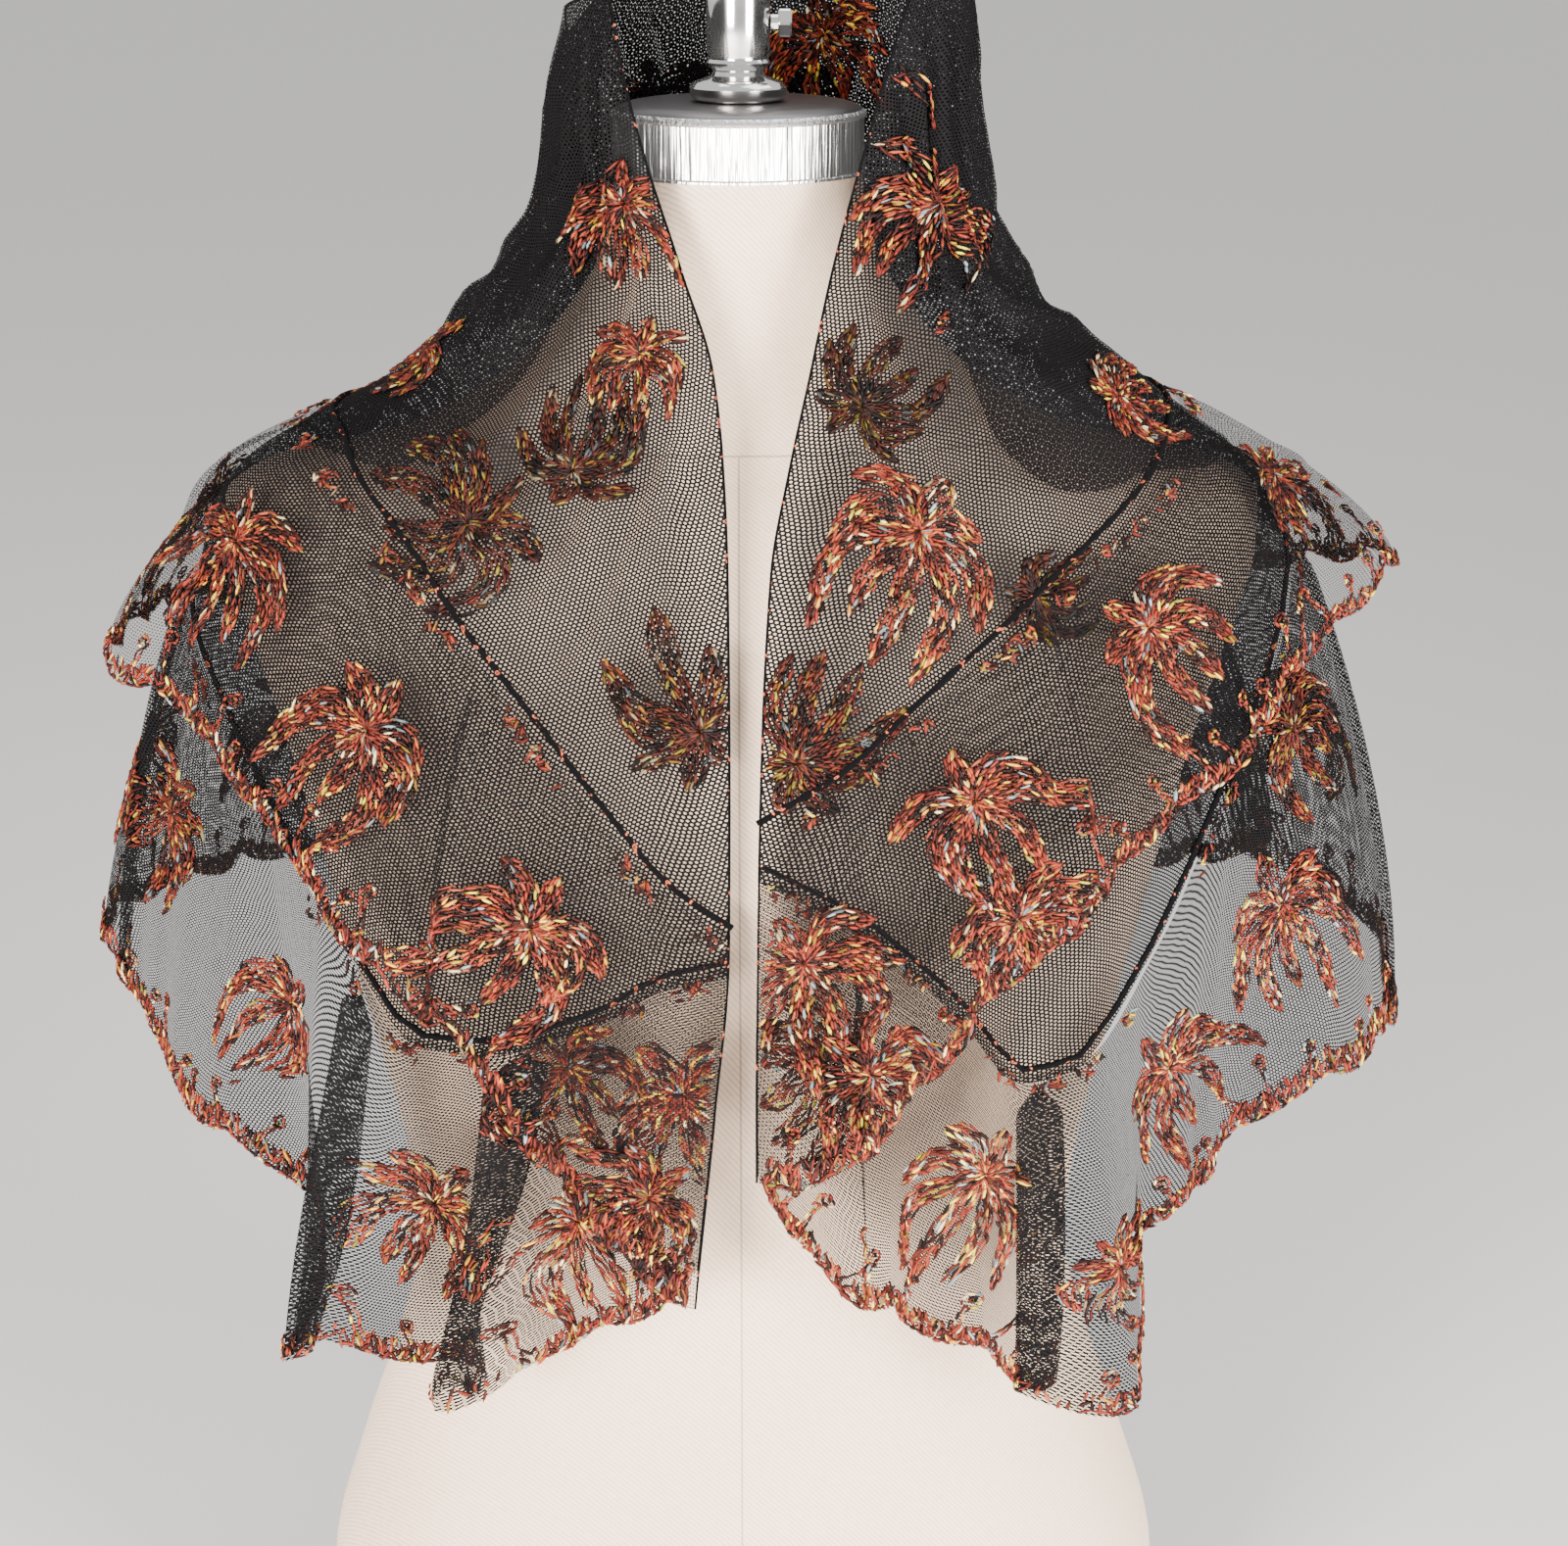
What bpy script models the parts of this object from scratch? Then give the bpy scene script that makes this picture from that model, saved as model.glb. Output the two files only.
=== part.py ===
"""Black net shoulder shawl with a stand collar and two embroidered flounces, on a linen dress form.

Metres, +Z up. The origin is the middle of the form's flat underside, the wearer faces -Y and +X is the
wearer's left. Round the body an azimuth runs in degrees from the centre front (0) over the wearer's
right shoulder (90) and the centre back (180) to the wearer's left shoulder (270).
"""

import math
from collections import namedtuple

import bpy
import numpy as np

# Cloth
WALL = 0.0011  # thickness of the net with its embroidery
SEAM_GAP = 0.0008  # air left between two pieces that are sewn together
SEAM_OVERLAP = 0.004  # the lower flounce is sewn this far up over the yoke's edge
FLOUNCE_GAP = 0.0040  # least air between the two flounces
CORD_RADIUS = 0.0011  # the rolled seam that stands up where a flounce is gathered on
SCALLOP_PITCH = 0.036
SCALLOP_DEPTH = 0.0055
COLUMNS_PER_SCALLOP = 4

# Dress form
NECK_RADIUS = 0.0458
NECK_TOP = 0.624
CAP_TOP = 0.650
PIECE_GAP = 0.0003

# Outline of the net as it hangs, level by level: how far it reaches from the axis of the body to the
# wearer's right and left, to the front and to the back, and how square its corners are. The collar leans
# to the wearer's left.
Level = namedtuple("Level", "height right left front back squareness")
CLOTH_LEVELS = [
    Level(0.290, 0.1900, 0.1900, 0.132, 0.118, 2.25),
    Level(0.340, 0.1990, 0.1990, 0.132, 0.120, 2.25),
    Level(0.385, 0.2070, 0.2070, 0.130, 0.121, 2.25),
    Level(0.420, 0.2105, 0.2105, 0.124, 0.120, 2.25),
    Level(0.450, 0.2090, 0.2105, 0.117, 0.118, 2.20),
    Level(0.480, 0.2050, 0.2080, 0.110, 0.114, 2.15),
    Level(0.503, 0.1980, 0.2010, 0.104, 0.109, 2.10),
    Level(0.517, 0.1860, 0.1910, 0.099, 0.106, 2.05),
    Level(0.530, 0.1640, 0.1730, 0.094, 0.102, 2.00),
    Level(0.543, 0.1380, 0.1560, 0.089, 0.098, 2.00),
    Level(0.557, 0.1170, 0.1390, 0.084, 0.094, 2.00),
    Level(0.573, 0.1020, 0.1160, 0.078, 0.090, 2.00),
    Level(0.592, 0.0865, 0.1015, 0.071, 0.087, 2.00),
    Level(0.611, 0.0730, 0.0945, 0.065, 0.086, 2.00),
    Level(0.635, 0.0680, 0.0875, 0.062, 0.086, 2.00),
    Level(0.660, 0.0665, 0.0840, 0.063, 0.088, 2.00),
    Level(0.682, 0.0630, 0.0845, 0.065, 0.090, 2.00),
    Level(0.706, 0.0610, 0.0855, 0.067, 0.092, 2.00),
]
# The dress form's own outline. Its shoulder ends carry the net.
FORM_LEVELS = [
    Level(0.000, 0.1650, 0.1650, 0.112, 0.118, 2.30),
    Level(0.012, 0.1700, 0.1700, 0.115, 0.122, 2.30),
    Level(0.060, 0.1690, 0.1690, 0.114, 0.122, 2.30),
    Level(0.110, 0.1560, 0.1560, 0.106, 0.112, 2.30),
    Level(0.160, 0.1390, 0.1390, 0.097, 0.098, 2.25),
    Level(0.200, 0.1300, 0.1300, 0.092, 0.089, 2.20),
    Level(0.240, 0.1340, 0.1340, 0.095, 0.090, 2.20),
    Level(0.285, 0.1440, 0.1440, 0.103, 0.096, 2.20),
    Level(0.330, 0.1550, 0.1550, 0.112, 0.103, 2.20),
    Level(0.375, 0.1660, 0.1660, 0.118, 0.108, 2.20),
    Level(0.415, 0.1770, 0.1770, 0.112, 0.109, 2.20),
    Level(0.450, 0.1880, 0.1880, 0.103, 0.106, 2.15),
    Level(0.480, 0.1950, 0.1970, 0.095, 0.101, 2.15),
    Level(0.503, 0.1960, 0.1978, 0.087, 0.095, 2.10),
    Level(0.514, 0.1830, 0.1860, 0.081, 0.090, 2.05),
    Level(0.524, 0.1380, 0.1380, 0.074, 0.084, 2.00),
    Level(0.545, 0.0950, 0.0950, 0.064, 0.073, 2.00),
    Level(0.572, 0.0660, 0.0660, 0.055, 0.060, 2.00),
    Level(0.598, 0.0505, 0.0505, 0.0475, 0.049, 2.00),
    Level(NECK_TOP, NECK_RADIUS, NECK_RADIUS, NECK_RADIUS, NECK_RADIUS, 2.00),
]
BUST_HEIGHT = 0.385
BUST_AZIMUTH = 31.0
BUST_SPREAD = 20.0  # degrees
BUST_REACH = 0.050  # up and down
BUST_ON_FORM = 0.009
BUST_IN_CLOTH = 0.005

# The two front edges of the net: how far each stands from the centre front, at each height.
Edge = namedtuple("Edge", "height right left")
FRONT_EDGES = [
    Edge(0.180, 0.0210, 0.0060),
    Edge(0.240, 0.0155, 0.0060),
    Edge(0.305, 0.0090, 0.0060),
    Edge(0.361, 0.0040, 0.0065),
    Edge(0.430, 0.0035, 0.0080),
    Edge(0.495, 0.0040, 0.0115),
    Edge(0.530, 0.0055, 0.0180),
    Edge(0.562, 0.0090, 0.0250),
    Edge(0.595, 0.0195, 0.0315),
    Edge(0.632, 0.0314, 0.0390),
    Edge(0.706, 0.0500, 0.0560),
]
# Height of the collar's soft rim round the neck
Rim = namedtuple("Rim", "azimuth height")
COLLAR_RIM = [
    Rim(0, 0.692),
    Rim(55, 0.684),
    Rim(90, 0.674),
    Rim(125, 0.686),
    Rim(180, 0.702),
    Rim(225, 0.699),
    Rim(270, 0.702),
    Rim(360, 0.696),
]

# Where the seams and hems run round the body. upper_seam and lower_seam are heights on the yoke, and each
# hem has its height and its distance from the body's axis.
Station = namedtuple("Station", "azimuth upper_seam upper_hem upper_reach lower_seam lower_hem lower_reach")
STATIONS = [
    Station(0, 0.370, 0.228, 0.1440, 0.353, 0.239, 0.1370),
    Station(10, 0.386, 0.248, 0.1480, 0.348, 0.223, 0.1410),
    Station(18, 0.407, 0.272, 0.1510, 0.336, 0.212, 0.1440),
    Station(26, 0.428, 0.294, 0.1560, 0.327, 0.198, 0.1480),
    Station(34, 0.448, 0.321, 0.1650, 0.320, 0.194, 0.1560),
    Station(44, 0.473, 0.348, 0.1750, 0.319, 0.201, 0.1640),
    Station(54, 0.501, 0.377, 0.1840, 0.352, 0.199, 0.1790),
    Station(65, 0.520, 0.407, 0.1940, 0.403, 0.258, 0.1880),
    Station(75, 0.531, 0.432, 0.2110, 0.437, 0.273, 0.2060),
    Station(84, 0.534, 0.443, 0.2310, 0.455, 0.300, 0.2330),
    Station(92, 0.535, 0.447, 0.2380, 0.462, 0.318, 0.2470),
    Station(100, 0.534, 0.447, 0.2380, 0.461, 0.322, 0.2480),
    Station(112, 0.528, 0.440, 0.2270, 0.450, 0.325, 0.2370),
    Station(130, 0.500, 0.408, 0.1980, 0.420, 0.305, 0.2060),
    Station(150, 0.465, 0.357, 0.1700, 0.378, 0.264, 0.1780),
    Station(165, 0.440, 0.322, 0.1560, 0.352, 0.236, 0.1650),
    Station(180, 0.431, 0.309, 0.1520, 0.342, 0.226, 0.1610),
    Station(195, 0.440, 0.322, 0.1560, 0.352, 0.236, 0.1650),
    Station(210, 0.465, 0.357, 0.1700, 0.378, 0.264, 0.1780),
    Station(230, 0.500, 0.412, 0.1990, 0.420, 0.305, 0.2080),
    Station(248, 0.530, 0.452, 0.2280, 0.462, 0.325, 0.2400),
    Station(260, 0.538, 0.466, 0.2410, 0.482, 0.305, 0.2570),
    Station(269, 0.540, 0.474, 0.2430, 0.487, 0.293, 0.2600),
    Station(277, 0.538, 0.462, 0.2290, 0.474, 0.287, 0.2420),
    Station(285, 0.533, 0.446, 0.2120, 0.444, 0.279, 0.2140),
    Station(295, 0.521, 0.426, 0.1970, 0.402, 0.252, 0.1940),
    Station(304, 0.506, 0.408, 0.1870, 0.347, 0.237, 0.1840),
    Station(313, 0.4885, 0.390, 0.1790, 0.308, 0.184, 0.1800),
    Station(320, 0.474, 0.367, 0.1730, 0.306, 0.186, 0.1690),
    Station(330, 0.455, 0.348, 0.1630, 0.335, 0.212, 0.1560),
    Station(337, 0.442, 0.320, 0.1560, 0.353, 0.220, 0.1490),
    Station(346, 0.425, 0.286, 0.1500, 0.372, 0.235, 0.1430),
    Station(360, 0.407, 0.277, 0.1440, 0.388, 0.276, 0.1370),
]

# Folds that fall from a gathered seam to its hem. rise is out (or in, below zero) at the hem, width is in
# degrees.
Fold = namedtuple("Fold", "azimuth width rise")
UPPER_FOLDS = [
    Fold(20, 5, 0.0030),
    Fold(38, 6, -0.0040),
    Fold(50, 5, 0.0040),
    Fold(66, 6, -0.0050),
    Fold(80, 5, 0.0060),
    Fold(97, 6, -0.0050),
    Fold(112, 6, 0.0060),
    Fold(134, 7, -0.0050),
    Fold(152, 7, 0.0055),
    Fold(171, 6, -0.0040),
    Fold(190, 6, 0.0045),
    Fold(208, 7, -0.0050),
    Fold(226, 7, 0.0055),
    Fold(246, 6, -0.0050),
    Fold(264, 6, 0.0060),
    Fold(281, 6, -0.0050),
    Fold(297, 5, 0.0050),
    Fold(310, 5, -0.0035),
    Fold(333, 4, 0.0050),
    Fold(343, 4, -0.0030),
]
LOWER_FOLDS = [
    Fold(9, 4, -0.0035),
    Fold(17, 4, 0.0030),
    Fold(26, 4, -0.0070),
    Fold(34, 3.5, 0.0120),
    Fold(40, 3, -0.0090),
    Fold(48, 4, 0.0030),
    Fold(56, 4, 0.0130),
    Fold(64, 4, -0.0110),
    Fold(74, 5, 0.0070),
    Fold(86, 5, -0.0060),
    Fold(98, 6, 0.0070),
    Fold(111, 5, -0.0070),
    Fold(122, 5, 0.0090),
    Fold(133, 5, -0.0090),
    Fold(144, 5, 0.0090),
    Fold(155, 5, -0.0080),
    Fold(166, 5, 0.0080),
    Fold(177, 5, -0.0080),
    Fold(188, 5, 0.0080),
    Fold(199, 5, -0.0080),
    Fold(210, 5, 0.0090),
    Fold(221, 5, -0.0090),
    Fold(232, 5, 0.0090),
    Fold(244, 5, -0.0080),
    Fold(257, 6, 0.0070),
    Fold(270, 5, -0.0060),
    Fold(281, 5, 0.0080),
    Fold(292, 5, -0.0070),
    Fold(303, 4, -0.0090),
    Fold(312, 4, 0.0130),
    Fold(320, 3, -0.0110),
    Fold(328, 4, 0.0040),
    Fold(336, 4, -0.0060),
    Fold(345, 4, 0.0080),
    Fold(353, 4, -0.0030),
]

# Mesh fineness
YOKE_COLUMNS = 60
YOKE_ROWS = 12
UPPER_FALL = (0.0, 0.055, 0.17, 0.33, 0.51, 0.69, 0.86, 1.0)
LOWER_FALL = (0.0, 0.16, 0.33, 0.50, 0.67, 0.84, 1.0)
FORM_SIDES = 36
CORD_POINTS = 84


def smooth(at, places, values):
    """Values at the given places, joined by a curve that never overshoots them."""
    places = np.asarray(places, float)
    values = np.asarray(values, float)
    at = np.clip(np.asarray(at, float), places[0], places[-1])
    step = np.diff(places)
    slope = np.diff(values) / step
    tangent = np.zeros_like(values)
    tangent[0], tangent[-1] = slope[0], slope[-1]
    same_way = slope[:-1] * slope[1:] > 0
    inner = np.zeros(len(slope) - 1)
    inner[same_way] = 2 * slope[:-1][same_way] * slope[1:][same_way] / (slope[:-1] + slope[1:])[same_way]
    tangent[1:-1] = inner
    k = np.clip(np.searchsorted(places, at, side="right") - 1, 0, len(step) - 1)
    t = (at - places[k]) / step[k]
    return (
        values[k] * (1 + 2 * t) * (1 - t) ** 2
        + step[k] * tangent[k] * t * (1 - t) ** 2
        + values[k + 1] * t**2 * (3 - 2 * t)
        + step[k] * tangent[k + 1] * t**2 * (t - 1)
    )


def column(rows, name):
    return [getattr(row, name) for row in rows]


def outline(levels, azimuth, height, bust):
    """Distance from the body's axis to an outline, with the bust standing forward of it."""
    heights = column(levels, "height")
    right = smooth(height, heights, column(levels, "right"))
    left = smooth(height, heights, column(levels, "left"))
    front = smooth(height, heights, column(levels, "front"))
    back = smooth(height, heights, column(levels, "back"))
    power = smooth(height, heights, column(levels, "squareness"))
    angle = np.radians(azimuth)
    depth = np.where(np.cos(angle) >= 0, front, back)
    across = np.abs(np.sin(angle)) / np.where(np.sin(angle) >= 0, right, left)
    along = np.abs(np.cos(angle)) / depth
    radius = (across**power + along**power) ** (-1 / power)
    from_front = np.minimum(azimuth, 360 - azimuth)
    sideways = (from_front - BUST_AZIMUTH) / BUST_SPREAD
    upward = (height - BUST_HEIGHT) / BUST_REACH
    return radius + bust * np.exp(-(sideways**2) - upward**2)


def cloth_radius(azimuth, height):
    return outline(CLOTH_LEVELS, azimuth, height, BUST_IN_CLOTH)


def above_cloth(azimuth, height, distance):
    """Distance from the body's axis to a surface that stands off the cloth by a distance square to it."""
    step = 0.001
    lean = (cloth_radius(azimuth, height + step) - cloth_radius(azimuth, height - step)) / (2 * step)
    return cloth_radius(azimuth, height) + distance * np.sqrt(1 + lean**2)


def place(azimuth, radius, height):
    """Points from azimuth, distance from the body's axis, and height."""
    angle = np.radians(azimuth)
    return np.stack([-radius * np.sin(angle), -radius * np.cos(angle), height + 0 * radius], axis=-1)


def unit(vectors):
    return vectors / np.linalg.norm(vectors, axis=-1, keepdims=True)


def station(azimuth, name):
    return smooth(azimuth, column(STATIONS, "azimuth"), column(STATIONS, name))


def between_edges(share, radius, height):
    """Azimuth at a share of the way round from the right front edge to the left one."""
    heights = column(FRONT_EDGES, "height")
    right = smooth(height, heights, column(FRONT_EDGES, "right"))
    left = smooth(height, heights, column(FRONT_EDGES, "left"))
    start = np.degrees(np.arcsin(right / radius))
    end = 360 - np.degrees(np.arcsin(left / radius))
    return start + (end - start) * share


def folds(table, azimuth):
    return sum(fold.rise * np.exp(-(((azimuth - fold.azimuth) / fold.width) ** 2)) for fold in table)


def flounce_radius(azimuth, height, top, hem, reach, lift, fall_power, table):
    """Distance from the body's axis to a flounce that falls from top to hem, lift off the yoke at its top."""
    fallen = np.clip((top - height) / np.maximum(top - hem, 0.001), 0, 1.1)
    start = above_cloth(azimuth, top, lift)
    radius = start + (reach - start) * (1 - np.abs(1 - fallen) ** fall_power * np.sign(1 - fallen))
    return radius + folds(table, azimuth) * fallen**1.3


def lower_radius(azimuth, height):
    top = station(azimuth, "lower_seam") + SEAM_OVERLAP
    radius = flounce_radius(
        azimuth,
        height,
        top,
        station(azimuth, "lower_hem"),
        station(azimuth, "lower_reach"),
        WALL + SEAM_GAP,
        1.7,
        LOWER_FOLDS,
    )
    on_yoke = above_cloth(azimuth, height, WALL + SEAM_GAP)
    return np.where(height > top - 2 * SEAM_OVERLAP, np.maximum(radius, on_yoke), radius)


def upper_radius(azimuth, height):
    top = station(azimuth, "upper_seam")
    radius = flounce_radius(
        azimuth,
        height,
        top,
        station(azimuth, "upper_hem"),
        station(azimuth, "upper_reach"),
        WALL + SEAM_GAP,
        1.6,
        UPPER_FOLDS,
    )
    fallen = np.clip((top - height) / 0.02, 0, 1)
    on_yoke = above_cloth(azimuth, height, WALL + SEAM_GAP + 0.003 * fallen)
    lower_top = station(azimuth, "lower_seam") + SEAM_OVERLAP
    over_lower = lower_radius(azimuth, np.minimum(height, lower_top)) + WALL + FLOUNCE_GAP
    over_cord = above_cloth(azimuth, height, WALL + 2 * CORD_RADIUS + 0.0032)
    covers = np.clip((lower_top + 0.028 - height) / 0.010, 0, 1) * np.clip((top - height) / 0.006, 0, 1)
    radius = np.maximum(radius, on_yoke)
    return np.maximum(radius, np.maximum(over_lower, over_cord) * covers + radius * (1 - covers))


def hem_columns(hem, reach):
    """Shares that part a hem into equal lengths, and the place of each in its scallop."""
    fine = np.linspace(0.0, 360.0, 2881)
    points = place(fine, station(fine, reach), station(fine, hem))
    along = np.concatenate([[0], np.cumsum(np.linalg.norm(np.diff(points, axis=0), axis=1))])
    scallops = round(along[-1] / SCALLOP_PITCH)
    count = scallops * COLUMNS_PER_SCALLOP
    shares = np.interp(np.linspace(0, along[-1], count + 1), along, fine) / 360
    return shares, np.arange(count + 1) / COLUMNS_PER_SCALLOP


def flounce_points(radius_at, top_at, hem, reach, falls):
    """Points of a flounce's inner face: a row for each step down, a column for each place along the hem."""
    shares, scallop = hem_columns(hem, reach)
    lobe = np.abs(np.sin(np.pi * scallop))
    azimuth = 360 * shares
    grid = []
    for fallen in falls:
        top = top_at(azimuth)
        height = top + (station(azimuth, hem) - top) * fallen
        height = height - SCALLOP_DEPTH * (lobe - 0.5) * fallen**4
        radius = radius_at(azimuth, height)
        turned = between_edges(shares, radius, height)
        grid.append(place(turned, radius_at(turned, height), height))
    return np.array(grid)


def lower_top_at(azimuth):
    return station(azimuth, "lower_seam") + SEAM_OVERLAP


def upper_top_at(azimuth):
    return station(azimuth, "upper_seam")


def yoke_points():
    """Points of the yoke's inner face, from the collar's rim down to its lower edge."""
    shares = np.linspace(0, 1, YOKE_COLUMNS + 1)
    azimuth = 360 * shares
    rim = smooth(azimuth, column(COLLAR_RIM, "azimuth"), column(COLLAR_RIM, "height"))
    base = station(azimuth, "lower_seam")
    drop = np.linspace(0, 1, 121)[:, None]
    height = rim + (base - rim) * drop
    radius = cloth_radius(azimuth[None, :] + 0 * height, height)
    step = np.hypot(np.diff(radius, axis=0), np.diff(height, axis=0))
    along = np.concatenate([np.zeros((1, len(shares))), np.cumsum(step, axis=0)])
    grid = np.zeros((YOKE_ROWS + 1, len(shares), 3))
    for k, share in enumerate(shares):
        rows = np.interp(np.linspace(0, along[-1, k], YOKE_ROWS + 1), along[:, k], height[:, k])
        turned = between_edges(share, cloth_radius(azimuth[k], rows), rows)
        grid[:, k] = place(turned, cloth_radius(turned, rows), rows)
    return grid


def material(name, colour, roughness, metallic=0.0):
    made = bpy.data.materials.new(name)
    made.use_nodes = True
    shader = made.node_tree.nodes["Principled BSDF"]
    shader.inputs["Base Color"].default_value = (*colour, 1)
    shader.inputs["Roughness"].default_value = roughness
    shader.inputs["Metallic"].default_value = metallic
    return made


def add_object(name, data, finish, parts):
    made = bpy.data.objects.new(name, data)
    parts.objects.link(made)
    data.materials.append(finish)
    return made


def grid_mesh(name, grid):
    """An open sheet of quads through a grid of points, facing away from the body."""
    rows, columns = grid.shape[:2]
    faces = []
    for row in range(rows - 1):
        for k in range(columns - 1):
            corner = row * columns + k
            faces.append((corner, corner + columns, corner + columns + 1, corner + 1))
    mesh = bpy.data.meshes.new(name)
    mesh.from_pydata(grid.reshape(-1, 3).tolist(), [], faces)
    mesh.shade_smooth()
    return mesh


def cloth_wall(name, grid, finish, parts):
    """A sheet given its thickness outwards."""
    made = add_object(name, grid_mesh(name, grid), finish, parts)
    solidify = made.modifiers.new("Thickness", "SOLIDIFY")
    solidify.thickness = WALL
    solidify.offset = 1.0
    solidify.use_even_offset = False
    return made


def seam_cord(name, seam_at, finish, parts):
    """A rolled seam lying on the yoke, just above the line where a flounce begins."""
    shares = np.linspace(0, 1, CORD_POINTS)
    azimuth = 360 * shares
    height = seam_at(azimuth)
    turned = between_edges(shares, cloth_radius(azimuth, height), height)
    points = place(turned, cloth_radius(turned, height), height)
    higher = place(turned, cloth_radius(turned, height + 0.001), height + 0.001)
    along = np.gradient(points, axis=0)
    out = unit(np.cross(along, higher - points))
    out *= np.sign((out * place(turned, 1.0, 0.0 * turned)).sum(axis=1))[:, None]
    up = unit(np.cross(out, along))
    up *= np.sign(up[:, 2])[:, None]
    points = points + up * (CORD_RADIUS + 1.4 * SEAM_GAP) + out * (WALL + CORD_RADIUS)
    curve = bpy.data.curves.new(name, "CURVE")
    curve.dimensions = "3D"
    curve.bevel_depth = CORD_RADIUS
    curve.bevel_resolution = 1
    curve.use_fill_caps = True
    spline = curve.splines.new("POLY")
    spline.points.add(len(points) - 1)
    for point, at in zip(spline.points, points):
        point.co = (*at, 1)
    return add_object(name, curve, finish, parts)


def form_torso(finish, parts):
    """The linen torso, a closed loft from its flat underside to the top of its neck."""
    sides = 360 * np.arange(FORM_SIDES) / FORM_SIDES
    rings = []
    for level in FORM_LEVELS:
        radius = outline(FORM_LEVELS, sides, level.height + 0 * sides, BUST_ON_FORM)
        if level.height == NECK_TOP:
            radius = NECK_RADIUS + 0 * sides
        rings.append(place(sides, radius, level.height + 0 * sides))
    points = np.concatenate(rings)
    faces = []
    for ring in range(len(rings) - 1):
        for k in range(FORM_SIDES):
            after = (k + 1) % FORM_SIDES
            here, above = ring * FORM_SIDES, (ring + 1) * FORM_SIDES
            faces.append((here + k, above + k, above + after, here + after))
    faces.append(tuple(range(FORM_SIDES)))
    faces.append(tuple((len(rings) - 1) * FORM_SIDES + k for k in reversed(range(FORM_SIDES))))
    mesh = bpy.data.meshes.new("form_torso")
    mesh.from_pydata(points.tolist(), [], faces)
    mesh.shade_smooth()
    mesh.set_sharp_from_angle(angle=math.radians(50))
    return add_object("form_torso", mesh, finish, parts)


def turned(name, profile, sides, finish, parts):
    """A solid turned about the body's axis, from a profile that runs down its outer side."""
    mesh = bpy.data.meshes.new(name)
    edges = [(k, k + 1) for k in range(len(profile) - 1)]
    mesh.from_pydata([(radius, 0, height) for radius, height in profile], edges, [])
    made = add_object(name, mesh, finish, parts)
    screw = made.modifiers.new("Turn", "SCREW")
    screw.steps = sides
    screw.render_steps = sides
    screw.use_merge_vertices = True
    screw.merge_threshold = 0.00001
    return made


def neck_cap(finish, parts):
    base = NECK_TOP + PIECE_GAP
    band_top = CAP_TOP - 0.0045
    profile = [
        (0.0, CAP_TOP),
        (NECK_RADIUS - 0.006, CAP_TOP),
        (NECK_RADIUS + 0.0005, CAP_TOP - 0.0018),
        (NECK_RADIUS + 0.0020, band_top),
        (NECK_RADIUS + 0.0010, band_top - 0.0012),
        (NECK_RADIUS + 0.0010, base + 0.0012),
        (NECK_RADIUS + 0.0016, base),
        (0.0, base),
    ]
    return turned("neck_cap", profile, 40, finish, parts)


def neck_stud(finish, parts):
    base = CAP_TOP + PIECE_GAP
    profile = [
        (0.0, base + 0.0560),
        (0.0060, base + 0.0550),
        (0.0100, base + 0.0520),
        (0.0118, base + 0.0480),
        (0.0118, base + 0.0180),
        (0.0110, base + 0.0155),
        (0.0122, base + 0.0140),
        (0.0110, base + 0.0122),
        (0.0090, base + 0.0100),
        (0.0120, base + 0.0080),
        (0.0172, base + 0.0066),
        (0.0182, base + 0.0034),
        (0.0172, base),
        (0.0, base),
    ]
    return turned("neck_stud", profile, 28, finish, parts)


def set_screw(finish, parts):
    """The hexagon-headed screw that clamps the neck stud."""
    shank = 0.0026
    start = 0.0118 + PIECE_GAP
    height = CAP_TOP + 0.0285
    bpy.ops.mesh.primitive_cylinder_add(vertices=6, radius=0.0058, depth=0.0050)
    head = bpy.context.object
    head.name = "set_screw"
    head.data.name = "set_screw"
    head.rotation_euler = (0, math.pi / 2, 0)
    head.location = (start + shank + 0.0025, 0, height)
    head.data.materials.append(finish)
    bevel = head.modifiers.new("Rounded edges", "BEVEL")
    bevel.width = 0.0006
    bevel.segments = 1
    bpy.ops.mesh.primitive_cylinder_add(vertices=16, radius=0.0030, depth=shank + 0.001)
    neck = bpy.context.object
    neck.name = "screw_shank"
    neck.rotation_euler = (0, math.pi / 2, 0)
    neck.location = (start + (shank + 0.001) / 2, 0, height)
    neck.hide_render = True
    neck.display_type = "WIRE"
    joined = head.modifiers.new("Shank", "BOOLEAN")
    joined.operation = "UNION"
    joined.object = neck
    for made, home in ((head, parts), (neck, bpy.data.collections["guides"])):
        for collection in list(made.users_collection):
            collection.objects.unlink(made)
        home.objects.link(made)
    return head


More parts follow.
